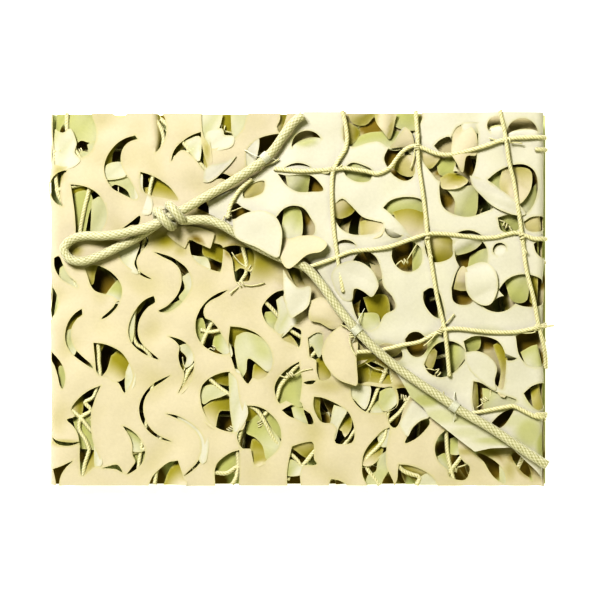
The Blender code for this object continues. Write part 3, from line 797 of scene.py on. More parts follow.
LEFT_SHAPE = (26, -31, 0, 0, 30, 33)
RIGHT_SHAPE = (-30, -33, 0, 0, -26, 31)
CURL_SPREAD = 25
# Steps in pixels from slit to slit, along a row and from row to row
ROW_LEFT, ROW_RIGHT = (66, -7), (67, -7)
BASE_LEFT, BASE_RIGHT = (66, -6), (67, -6)
NEXT_LEFT, NEXT_RIGHT, NEXT_BASE = (10.5, 77), (11, 79), (9, 78)
# Limits in pixels of the rows of slits: under the corner and on the base
COVERED_FROM, COVERED_TO = 300, 500
BASE_FROM, BASE_TO = 75, 515
# Room in metres between the corner's borders and the slits under it
NEAR_ROOM, FAR_ROOM = 0.024, 0.012


def slit_rows(x, y, columns, rows, column, row, shape, curl):
    """Slits at even places from x, y in pixels on, as they are cut. shape is one slit about its middle."""
    found = []
    for i in range(columns):
        for j in range(rows):
            px = x + i * column[0] + j * row[0]
            py = y + i * column[1] + j * row[1]
            bend = curl + random.Random(f"{i} {j} {x}").uniform(-CURL_SPREAD, CURL_SPREAD)
            places = [value + (px if index % 2 == 0 else py) for index, value in enumerate(shape)]
            found.append(Slit(*places, bend))
    return found


def covered_slits():
    """Slits of the middle layer under the turned-over corner."""
    rows = slit_rows(262, 85, 6, 5, ROW_LEFT, NEXT_LEFT, LEFT_SHAPE, curl=105)
    rows += slit_rows(272, 46, 6, 6, ROW_RIGHT, NEXT_RIGHT, RIGHT_SHAPE, curl=105)
    clear = []
    for slit in rows:
        far, near = flap_sides(from_pixel(slit.mx, 0)[0])
        y = from_pixel(0, slit.my)[1]
        if near + NEAR_ROOM < y < far - FAR_ROOM and COVERED_FROM < slit.mx < COVERED_TO:
            clear.append(slit)
    return clear


def base_slits():
    """The base layer's slits, whose tongues stand up towards the layer over them."""
    rows = slit_rows(84, 96, 8, 6, BASE_LEFT, NEXT_BASE, LEFT_SHAPE, curl=-52)
    rows += slit_rows(96, 58, 8, 6, BASE_RIGHT, NEXT_BASE, RIGHT_SHAPE, curl=-48)
    return [slit for slit in rows if BASE_FROM < slit.mx < BASE_TO]


STANDING_SHARE = 0.15  # how many of the tongues that curl down bend in an arc


def arc_places(slit, spacing):
    """Places along a slit's arc, which is part of a circle."""
    start, middle, end = (from_pixel(*pair) for pair in pairs(*slit[:6]))
    d = 2 * (start.x * (middle.y - end.y) + middle.x * (end.y - start.y) + end.x * (start.y - middle.y))
    a, b, c = start.length_squared, middle.length_squared, end.length_squared
    x = (a * (middle.y - end.y) + b * (end.y - start.y) + c * (start.y - middle.y)) / d
    y = (a * (end.x - middle.x) + b * (start.x - end.x) + c * (middle.x - start.x)) / d
    centre = Vector((x, y))
    radius = (start - centre).length
    first, by, last = (math.atan2(place.y - centre.y, place.x - centre.x) for place in (start, middle, end))
    sweep = (last - first) % math.tau
    if (by - first) % math.tau > sweep:
        sweep -= math.tau
    steps = max(4, round(abs(sweep) * radius / spacing))
    angles = [first + sweep * step / steps for step in range(steps + 1)]
    return [centre + Vector((math.cos(angle), math.sin(angle))) * radius for angle in angles]


def inside(polygon, place):
    """Whether a place is inside a polygon."""
    x, y = place
    within = False
    for (x1, y1), (x2, y2) in zip(polygon, polygon[1:] + polygon[:1]):
        if (y1 > y) != (y2 > y) and x < x1 + (y - y1) * (x2 - x1) / (y2 - y1):
            within = not within
    return within


def smooth_ring(outline, spacing):
    """A closed outline in pixels as even places on a smooth curve through its points."""
    corners = [Vector((*from_pixel(*pixel), 0)) for pixel in outline]
    return [point.xy for point in eased([*corners, corners[0]], spacing)[:-1]]


class Tongue:
    """The cloth inside a slit, which bends about its hinge, the line between the slit's ends."""

    def __init__(self, slit, spacing):
        self.slit = slit
        self.arc = arc_places(slit, spacing)
        self.polygon = [tuple(place) for place in self.arc]
        self.start, end = self.arc[0], self.arc[-1]
        self.tip = from_pixel(slit.mx, slit.my)
        hinge = (end - self.start).normalized()
        self.way = Vector((-hinge.y, hinge.x))
        if self.way.dot(self.tip - self.start) < 0:
            self.way = -self.way
        self.way.normalize()
        self.along = Vector((-self.way.y, self.way.x))
        self.rims = sorted(self.from_start(place) for place in self.arc)
        self.reach = max(rim[1] for rim in self.rims)
        chance = random.Random(f"{slit.ax} {slit.by}")
        self.scoop = chance.uniform(0.55, 0.95)
        self.dip = chance.uniform(0.0015, 0.0065)
        self.stands = slit.curl < 0 or chance.random() < STANDING_SHARE
        steps = max(2, round((end - self.start).length / spacing))
        self.hinge = [self.start.lerp(end, step / steps) for step in range(steps + 1)]
        self.low = [min(place[axis] for place in self.polygon) for axis in (0, 1)]
        self.high = [max(place[axis] for place in self.polygon) for axis in (0, 1)]

    def from_start(self, place):
        """A place as runs along the hinge and away from it."""
        return self.along.dot(place - self.start), self.way.dot(place - self.start)

    def holds(self, place):
        if not all(self.low[axis] <= place[axis] <= self.high[axis] for axis in (0, 1)):
            return False
        return inside(self.polygon, place)

    def reach_at(self, across):
        """How far the tongue reaches from its hinge, at a place along the hinge."""
        for low, high in zip(self.rims, self.rims[1:]):
            if low[0] <= across <= high[0] and high[0] > low[0]:
                share = (across - low[0]) / (high[0] - low[0])
                return low[1] + share * (high[1] - low[1])
        return 0.0

    def bent(self, place):
        """Where a place of the tongue goes, and how far down.

        Most tongues are drawn back from their slit and dip towards their edge. Others bend in an arc.
        """
        across, run = self.from_start(place)
        if run <= 0:
            return place, 0.0
        curl = math.radians(abs(self.slit.curl))
        here = max(run, self.reach_at(across))
        reach = self.reach * (1 - self.scoop) + here * self.scoop
        if self.stands:
            radius = reach / curl
            angle = run / radius
            down = radius * (1 - math.cos(angle))
            return place + self.way * (radius * math.sin(angle) - run), math.copysign(down, self.slit.curl)
        left = math.sin(min(curl, math.pi / 2)) / curl
        share = run / reach
        drawn_back = self.way * run * (left - 1) * min(1.0, share * 1.5)
        return place + drawn_back, math.copysign(self.dip, self.slit.curl) * share**1.6


def tree_of(places):
    """A tree that finds the nearest of some flat places."""
    tree = kdtree.KDTree(len(places))
    for index, place in enumerate(places):
        tree.insert((*place, 0), index)
    tree.balance()
    return tree


CLEAR_OF_CUTS = 0.62  # of the spacing, between a cut's places and the cloth's others
SAME_PLACE = 1e-6


def cut_cloth(outline, tongues, spacing, holes=()):
    """The flat cloth in triangles, cut along its slits and round its holes.

    Gives its places, each with its tongue or None, and its faces.
    """
    places, edges, hinges = [], [], []  # hinges has, for each edge, the tongue whose hinge it is, or None
    ends = {}

    def line(points, hinge=None, shared=()):
        """Adds a line of edges. shared gives the numbers of its first and last places where they exist."""
        numbers = []
        for index, point in enumerate(points):
            if shared and index in (0, len(points) - 1):
                numbers.append(shared[0] if index == 0 else shared[1])
            else:
                numbers.append(len(places))
                places.append(Vector(point))
        for first, second in zip(numbers, numbers[1:]):
            edges.append((first, second))
            hinges.append(hinge)
        return numbers

    def closed(points):
        numbers = line(points)
        edges.append((numbers[-1], numbers[0]))
        hinges.append(None)

    closed(outline)
    for index, tongue in enumerate(tongues):
        numbers = line(tongue.arc)
        ends[index] = (numbers[0], numbers[-1])
        line(tongue.hinge, index, ends[index])
    rings = [smooth_ring(hole, spacing) for hole in holes]
    for ring in rings:
        closed(ring)
    near = tree_of(places)
    low = [min(place[axis] for place in outline) for axis in (0, 1)]
    high = [max(place[axis] for place in outline) for axis in (0, 1)]
    border = [tuple(place) for place in outline]
    row_step = spacing * math.sqrt(0.75)
    for row in range(int((high[1] - low[1]) / row_step) + 1):
        for column in range(int((high[0] - low[0]) / spacing) + 1):
            place = Vector((low[0] + (column + row % 2 / 2) * spacing, low[1] + row * row_step))
            if near.find((*place, 0))[2] > spacing * CLEAR_OF_CUTS and inside(border, place):
                places.append(place)
    made = delaunay_2d_cdt(places, edges, [], 0, SAME_PLACE)
    flat, out_edges, triangles, from_places, from_edges = made[:5]
    on_hinge = [set() for _ in flat]
    for (first, second), sources in zip(out_edges, from_edges):
        for index in (hinges[source] for source in sources):
            if index is not None:
                on_hinge[first].add(index)
                on_hinge[second].add(index)
    for vert, sources in enumerate(from_places):
        for index, pair in ends.items():
            if pair[0] in sources or pair[1] in sources:
                on_hinge[vert].add(index)
    numbers, kept, faces = {}, [], []
    for triangle in triangles:
        centre = sum((flat[vert] for vert in triangle), Vector((0, 0))) / 3
        if not inside(border, centre) or any(inside(ring, centre) for ring in rings):
            continue
        home = next((index for index, tongue in enumerate(tongues) if tongue.holds(centre)), None)
        face = []
        for vert in triangle:
            owner = None if home in on_hinge[vert] else home
            if (vert, owner) not in numbers:
                numbers[vert, owner] = len(kept)
                kept.append((flat[vert], owner))
            face.append(numbers[vert, owner])
        faces.append(face)
    return kept, faces


FRAY = 0.0018  # how far from a cut its fibre shows
TIP_NEAR = 0.045  # how far from a tongue's tip the cloth round it is raised
TIP_WIDE = 0.014
WAVES_TO_METRE = 34
SHARP_ANGLE = 0.8


def cloth_layer(
    name,
    layer,
    outline,
    slits,
    spacing,
    floor,
    lift,
    face_up,
    shade,
    holes=(),
    leaves=(),
    deep=None,
    back=SCRIM_BACK,
    wave=0.0020,
    seed=18,
):
    """One layer of scrim: cut, its tongues bent, laid on the layer's surface, and given its thickness.

    floor(x, y) is the lowest rise of the tongues. lift is how far the cloth stands up round their tips.
    shade(x, y, rise) gives the painted shade at a place, the function of a vert the painted deep shade, and
    wave how far it swells.
    """
    tongues = [Tongue(slit, spacing) for slit in slits]
    kept, faces = cut_cloth(outline, tongues, spacing, holes)
    cut_places = [place for tongue in tongues for place in tongue.arc]
    cut_places += [place for hole in holes for place in smooth_ring(hole, spacing)]
    cuts = tree_of(cut_places)
    tips = tree_of([tongue.tip for tongue in tongues])
    verts, shades, edges = [], [], []

    def lie(place, home=None):
        """How high the cloth lies over its layer's even surface at a place."""
        raised = 0.0
        for _, index, away in tips.find_range((*place, 0), TIP_NEAR):
            if index != home:
                raised += lift * math.exp(-((away / TIP_WIDE) ** 2))
        return raised + noise.noise((place.x * WAVES_TO_METRE, place.y * WAVES_TO_METRE, seed)) * wave

    for place, home in kept:
        rise = lie(place, home)
        moved = place
        if home is not None:
            moved, down = tongues[home].bent(place)
            rise -= down
        shades.append(shade(moved.x, moved.y, rise))
        rise = max(rise, floor(moved.x, moved.y))
        verts.append(on_layer(layer, moved.x, moved.y, rise))
        edges.append(math.exp(-cuts.find((*place, 0))[2] / FRAY))
    for leaf in leaves:
        leaf_kept, leaf_faces = leaf_cloth(leaf, spacing, face_up)
        first = len(verts)
        cuts = tree_of(smooth_ring(leaf.outline, spacing))
        for place, _ in leaf_kept:
            rise = leaf_rise(leaf, place)
            verts.append(on_layer(layer, place.x, place.y, rise + lie(place)))
            painted_shade = max(shade(place.x, place.y, rise), leaf_shade(leaf, place, rise))
            # Leaves above their layer get no painted shade
            shades.append(0.0 if rise > 0 else painted_shade)
            edges.append(math.exp(-cuts.find((*place, 0))[2] / FRAY))
        faces += [[first + vert for vert in face] for face in leaf_faces]
        kept += leaf_kept
    materials = [SCRIM_FACE, back] if face_up else [back, SCRIM_FACE]
    made = piece_of(name, verts, faces, materials)
    give(made, "shade", shades)
    give(made, "cut", edges)
    # How much painted deep shade each point gets
    give(made, "deep", [deep(vert) if deep else 0.0 for vert in verts])
    flat = made.data.uv_layers.new(name="cloth")
    for loop in made.data.loops:
        flat.data[loop.index].uv = kept[loop.vertex_index][0]
    thicken = made.modifiers.new("thickness", "SOLIDIFY")
    thicken.thickness = CLOTH
    thicken.offset = 0.0
    thicken.material_offset = 1
    thicken.material_offset_rim = 0
    with bpy.context.temp_override(object=made, active_object=made, selected_objects=[made]):
        bpy.ops.object.modifier_apply(modifier=thicken.name)
    made.data.set_sharp_from_angle(angle=SHARP_ANGLE)
    return made


# A leaf is a piece of cloth that lies loose in or by a hole: its outline in pixels, three of its places
# (x, y in pixels, rise in mm) that fix its slope, how far it bows up in mm, and whether its sand face shows.
Leaf = namedtuple("Leaf", "outline pins bow face")
LOOSE_TILTS = (-1.0, 0.8, 0.2)
LOOSE_BOW = 0.8


def pinned(face, bow, pins, *outline):
    """A leaf whose slope is given by its pins."""
    return Leaf(pairs(*outline), tuple(zip(pins[::3], pins[1::3], pins[2::3])), bow, face)


def loose(face, rise, *outline):
    """A leaf that lies nearly level, rise mm over its layer."""
    across, along = outline[::2], outline[1::2]
    corners = ((min(across), min(along)), (max(across), min(along)), (min(across), max(along)))
    pins = tuple((*place, rise + tilt) for place, tilt in zip(corners, LOOSE_TILTS))
    return Leaf(pairs(*outline), pins, LOOSE_BOW, face)


CORNER_LEAVES = (
    pinned(False, 1.5, (282, 217, 3.5, 238, 234, 11.6, 270, 255, 11.8), 233, 221, 244, 214.5, 257, 211,
        267, 212, 275.5, 217, 280, 224, 282.4, 234, 281, 249, 277, 258, 257, 248, 236.5, 238),
    pinned(True, 1.0, (318, 238, 2.5, 284, 262, 11.8, 308, 256, 10.6), 282.4, 234, 289, 239, 300, 236,
        315, 236, 323, 240, 327, 245, 321, 252, 306.7, 255.5, 289, 269, 280.5, 257),
    pinned(False, 1.0, (289, 275, 0.5, 311, 290, 1.0, 290, 317, 4.5), 283, 269, 287, 276, 292, 282,
        299, 288, 309.7, 286, 311, 295, 307.7, 307, 297, 315, 290, 317, 284.3, 297),
    pinned(True, 1.0, (310, 301, 0.0, 343, 323, -0.5, 320, 323, -2.0), 310, 301, 321, 297, 330, 303,
        338, 314, 343, 323, 332.6, 329.4, 320, 323, 309, 319),
    pinned(True, 1.5, (352, 328, -1.0, 357, 384, 2.0, 322, 350, 1.0), 333.6, 330.4, 326, 339, 322, 350.5,
        323, 360, 328, 368.7, 334, 376, 341, 381, 350, 384, 357.5, 384, 356.5, 360, 358, 345, 356, 334,
        349, 326, 341, 326),
    pinned(True, 1.0, (362, 342, -2.0, 357, 366, -7.0, 376, 357, -5.0), 355, 338, 366, 350, 377, 357,
        366, 364, 356, 366),
    pinned(True, 2.0, (464, 128, -1.0, 476, 150, 0.5, 462, 173, 2.5), 452, 137, 453, 128, 466, 124,
        476, 135, 476, 155, 466, 157, 462, 173, 455, 162, 451, 154),
    pinned(False, 2.5, (470, 180, 1.5, 524, 214, 1.0, 484, 200, 3.5), 469, 176, 486, 180, 500, 190,
        515, 202, 525, 214, 513.6, 215.6, 494, 208, 480, 196, 472, 187),
    pinned(True, 1.5, (405, 127, 4.0, 414, 146, 1.0, 390, 148, 0.5), 405, 127, 411, 133, 414, 146, 403, 147,
        390, 148, 396, 139),
    pinned(True, -2.0, (441, 183, -1.5, 468, 181, -2.0, 455, 190, 2.0), 440, 178, 449, 173, 459, 174,
        468, 181, 460, 188, 449, 190, 441, 188),
    pinned(False, 2.0, (480, 266, 0.8, 497, 288, 2.0, 470, 298, 3.0), 464, 268, 482, 262, 494, 270,
        497, 288, 490, 304, 478, 304, 466, 292),
    pinned(True, 1.0, (463, 266, 2.0, 454, 289, -3.0, 473, 288, -2.0), 453, 289, 457, 272, 463, 266,
        468, 274, 473, 288, 463, 291),
    pinned(False, 1.5, (350, 300, 1.0, 340, 268, 4.0, 376, 286, 5.5), 335, 290, 331, 276, 337, 266,
        350, 261, 362, 263, 372, 271, 378, 284, 376, 291, 371, 297, 362, 291, 354, 289, 352, 300, 343, 300),
    pinned(True, 0.8, (350, 113, -0.8, 372, 113, -0.8, 360, 124, -4), 346, 111, 375, 111, 372, 119,
        365, 125, 353, 123),
    pinned(True, 0.5, (344, 122, -1, 345, 142, -1, 359, 132, -6), 343, 120, 352, 124, 360, 130, 358, 138,
        350, 145, 343, 142),
    pinned(True, 2.0, (378, 113, -0.8, 393, 113, -0.8, 389, 139, -2), 374, 111, 395, 111, 395, 122,
        390, 139, 383, 132, 376, 122),
    pinned(False, 0.6, (352, 146, -4, 400, 133, -6, 390, 147, -3), 349, 148, 358, 137, 370, 132, 386, 131,
        402, 130, 407, 136, 400, 150, 380, 149),
    pinned(False, 0.5, (396, 113, -6, 416, 113, -6, 405, 129, -4), 393, 111, 419, 111, 419, 128, 405, 130,
        393, 124),
    pinned(True, 1.2, (396, 168, -5, 406, 158, -1, 414, 174, -2), 392, 166, 398, 159, 406, 155, 417, 158,
        417, 172, 410, 177, 400, 174),
    pinned(True, 1.0, (421, 152, -0.8, 438, 155, -1, 430, 168, -4), 419, 149, 432, 153, 441, 155, 437, 163,
        430, 169, 423, 163),
    pinned(False, 0.5, (438, 160, -6, 452, 158, -5, 444, 173, -7), 436, 160, 454, 157, 454, 173, 440, 175),
    pinned(False, 1.0, (462, 125, -0.3, 477, 125, -0.3, 470, 137, -2), 460, 123, 479, 123, 478, 133,
        470, 137, 463, 132),
    pinned(False, 1.5, (444, 185, -3, 476, 188, -4, 462, 216, -4), 441, 184, 458, 187, 475, 186, 478, 200,
        474, 217, 455, 216, 454, 200),
    pinned(True, 1.4, (508, 196, -0.6, 528, 190, -1, 514, 168, -4), 502, 168, 520, 167, 531, 172, 530, 190,
        518, 205, 507, 198, 499, 186),
    pinned(False, 0.5, (488, 178, -6, 502, 170, -6, 500, 189, -4), 486, 175, 501, 168, 503, 190, 493, 190),
    pinned(False, 0.5, (520, 205, -3, 536, 186, -6, 528, 213, -3), 517, 204, 530, 190, 538, 184, 538, 206,
        524, 216),
    pinned(False, 0.5, (497, 216, -5, 519, 217, -5, 505, 233, -6), 496, 215, 520, 216, 519, 233, 502, 234),
    pinned(True, 1.0, (523, 216, -4, 547, 216, -3, 530, 232, -2), 522, 215, 549, 215, 549, 233, 524, 233),
    pinned(False, 0.8, (384, 204, -5, 424, 199, -4, 395, 214, -6), 381, 202, 400, 196, 425, 198, 425, 212,
        392, 215),
    pinned(True, 1.0, (392, 210, -6, 422, 210, -6, 415, 236, -0.8), 390, 208, 424, 209, 425, 237, 408, 238,
        398, 224),
    pinned(True, 1.0, (335, 200, -1, 335, 216, -2, 355, 206, -6), 333, 200, 344, 197, 356, 204, 352, 214,
        340, 219, 333, 214),
    pinned(True, 1.2, (362, 222, -5, 381, 222, -2, 370, 237, -0.8), 360, 222, 372, 218, 385, 222, 380, 237,
        362, 238),
    pinned(False, 1.2, (343, 165, -4, 372, 165, -3, 356, 183, -5), 342, 162, 373, 163, 372, 184, 345, 183),
    pinned(False, 1.0, (286, 210, -6, 300, 212, -6, 292, 240, -0.8), 284, 208, 299, 208, 303, 224, 300, 240,
        287, 241, 282, 230),
    pinned(False, 1.0, (288, 176, -0.8, 307, 176, -4, 300, 192, -6), 285, 174, 308, 174, 309, 184, 306, 194,
        290, 190),
    pinned(True, 1.5, (244, 184, -3, 264, 182, -2, 252, 198, -4), 243, 182, 266, 180, 264, 194, 244, 199),
    pinned(False, 0.5, (414, 242, -6, 423, 246, -3, 416, 271, -6), 413, 241, 424, 243, 424, 269, 413, 273),
    pinned(True, 1.0, (424, 238, -3, 452, 238, -2, 438, 262, -6), 422, 236, 454, 235, 454, 262, 426, 264),
    pinned(False, 1.5, (453, 242, -0.5, 480, 240, -1, 456, 253, -2), 452, 240, 466, 236, 482, 239, 477, 248,
        464, 254, 453, 254),
    pinned(False, 0.8, (472, 256, -7, 487, 252, -4, 478, 276, -4), 470, 256, 480, 250, 489, 250, 488, 270,
        478, 278, 468, 273),
    pinned(False, 0.4, (541, 240, -6, 549, 240, -4, 543, 258, -6), 541, 239, 550, 238, 550, 259, 543, 260),
    pinned(False, 1.0, (505, 282, -6, 526, 278, -4, 516, 299, -6), 504, 280, 516, 274, 527, 275, 527, 300,
        512, 301),
    pinned(True, 0.8, (530, 278, -7, 539, 279, -4, 535, 300, -7), 529, 276, 540, 278, 541, 301, 530, 302),
    pinned(True, 0.8, (364, 298, -8, 386, 298, -5, 375, 317, -7), 363, 297, 386, 295, 389, 317, 372, 318),
    pinned(False, 0.6, (360, 314, -5, 377, 315, -5, 366, 331, -1), 358, 313, 378, 314, 378, 331, 362, 332),
    pinned(False, 0.5, (437, 290, -5, 443, 295, -2, 441, 318, -4), 436, 289, 444, 293, 446, 319, 439, 319),
    pinned(True, 1.0, (495, 346, -7, 503, 350, -6, 501, 391, -0.8), 493, 345, 505, 343, 507, 393, 497, 393,
        500, 370),
    pinned(False, 0.5, (463, 338, -5, 478, 337, -6, 468, 350, -6), 462, 336, 479, 335, 479, 349, 464, 352),
    pinned(False, 1.2, (466, 362, 0, 490, 360, 2.5, 494, 388, 0.8), 464, 352, 478, 351, 490, 358, 496, 368,
        494, 380, 495, 390, 482, 382, 466, 366),
    pinned(False, 1.0, (484, 390, -5, 516, 399, -2, 490, 411, -3), 482, 388, 498, 390, 518, 398, 510, 409,
        486, 413),
    pinned(True, 0.4, (472, 381, -1.5, 477, 385, -5, 473, 411, -1), 471, 379, 477, 383, 478, 412, 472, 412),
    pinned(False, 0.8, (521, 353, -5, 543, 348, -5, 532, 368, -1), 520, 352, 534, 345, 544, 347, 544, 368,
        528, 369),
    pinned(True, 0.8, (531, 390, -6, 549, 386, -4, 536, 408, -2), 530, 388, 550, 383, 550, 406, 534, 409),
    pinned(False, 0.8, (450, 348, -7, 465, 352, -3, 453, 372, -5), 449, 346, 458, 342, 467, 352, 458, 368,
        451, 373),
    pinned(True, 0.5, (424, 362, -1, 431, 351, -1, 435, 366, -5), 423, 363, 430, 350, 437, 351, 432, 369),
    pinned(True, 0.6, (376, 349, -1, 400, 350, -1, 390, 356, -5), 374, 349, 384, 343, 395, 345, 402, 350,
        392, 357),
)


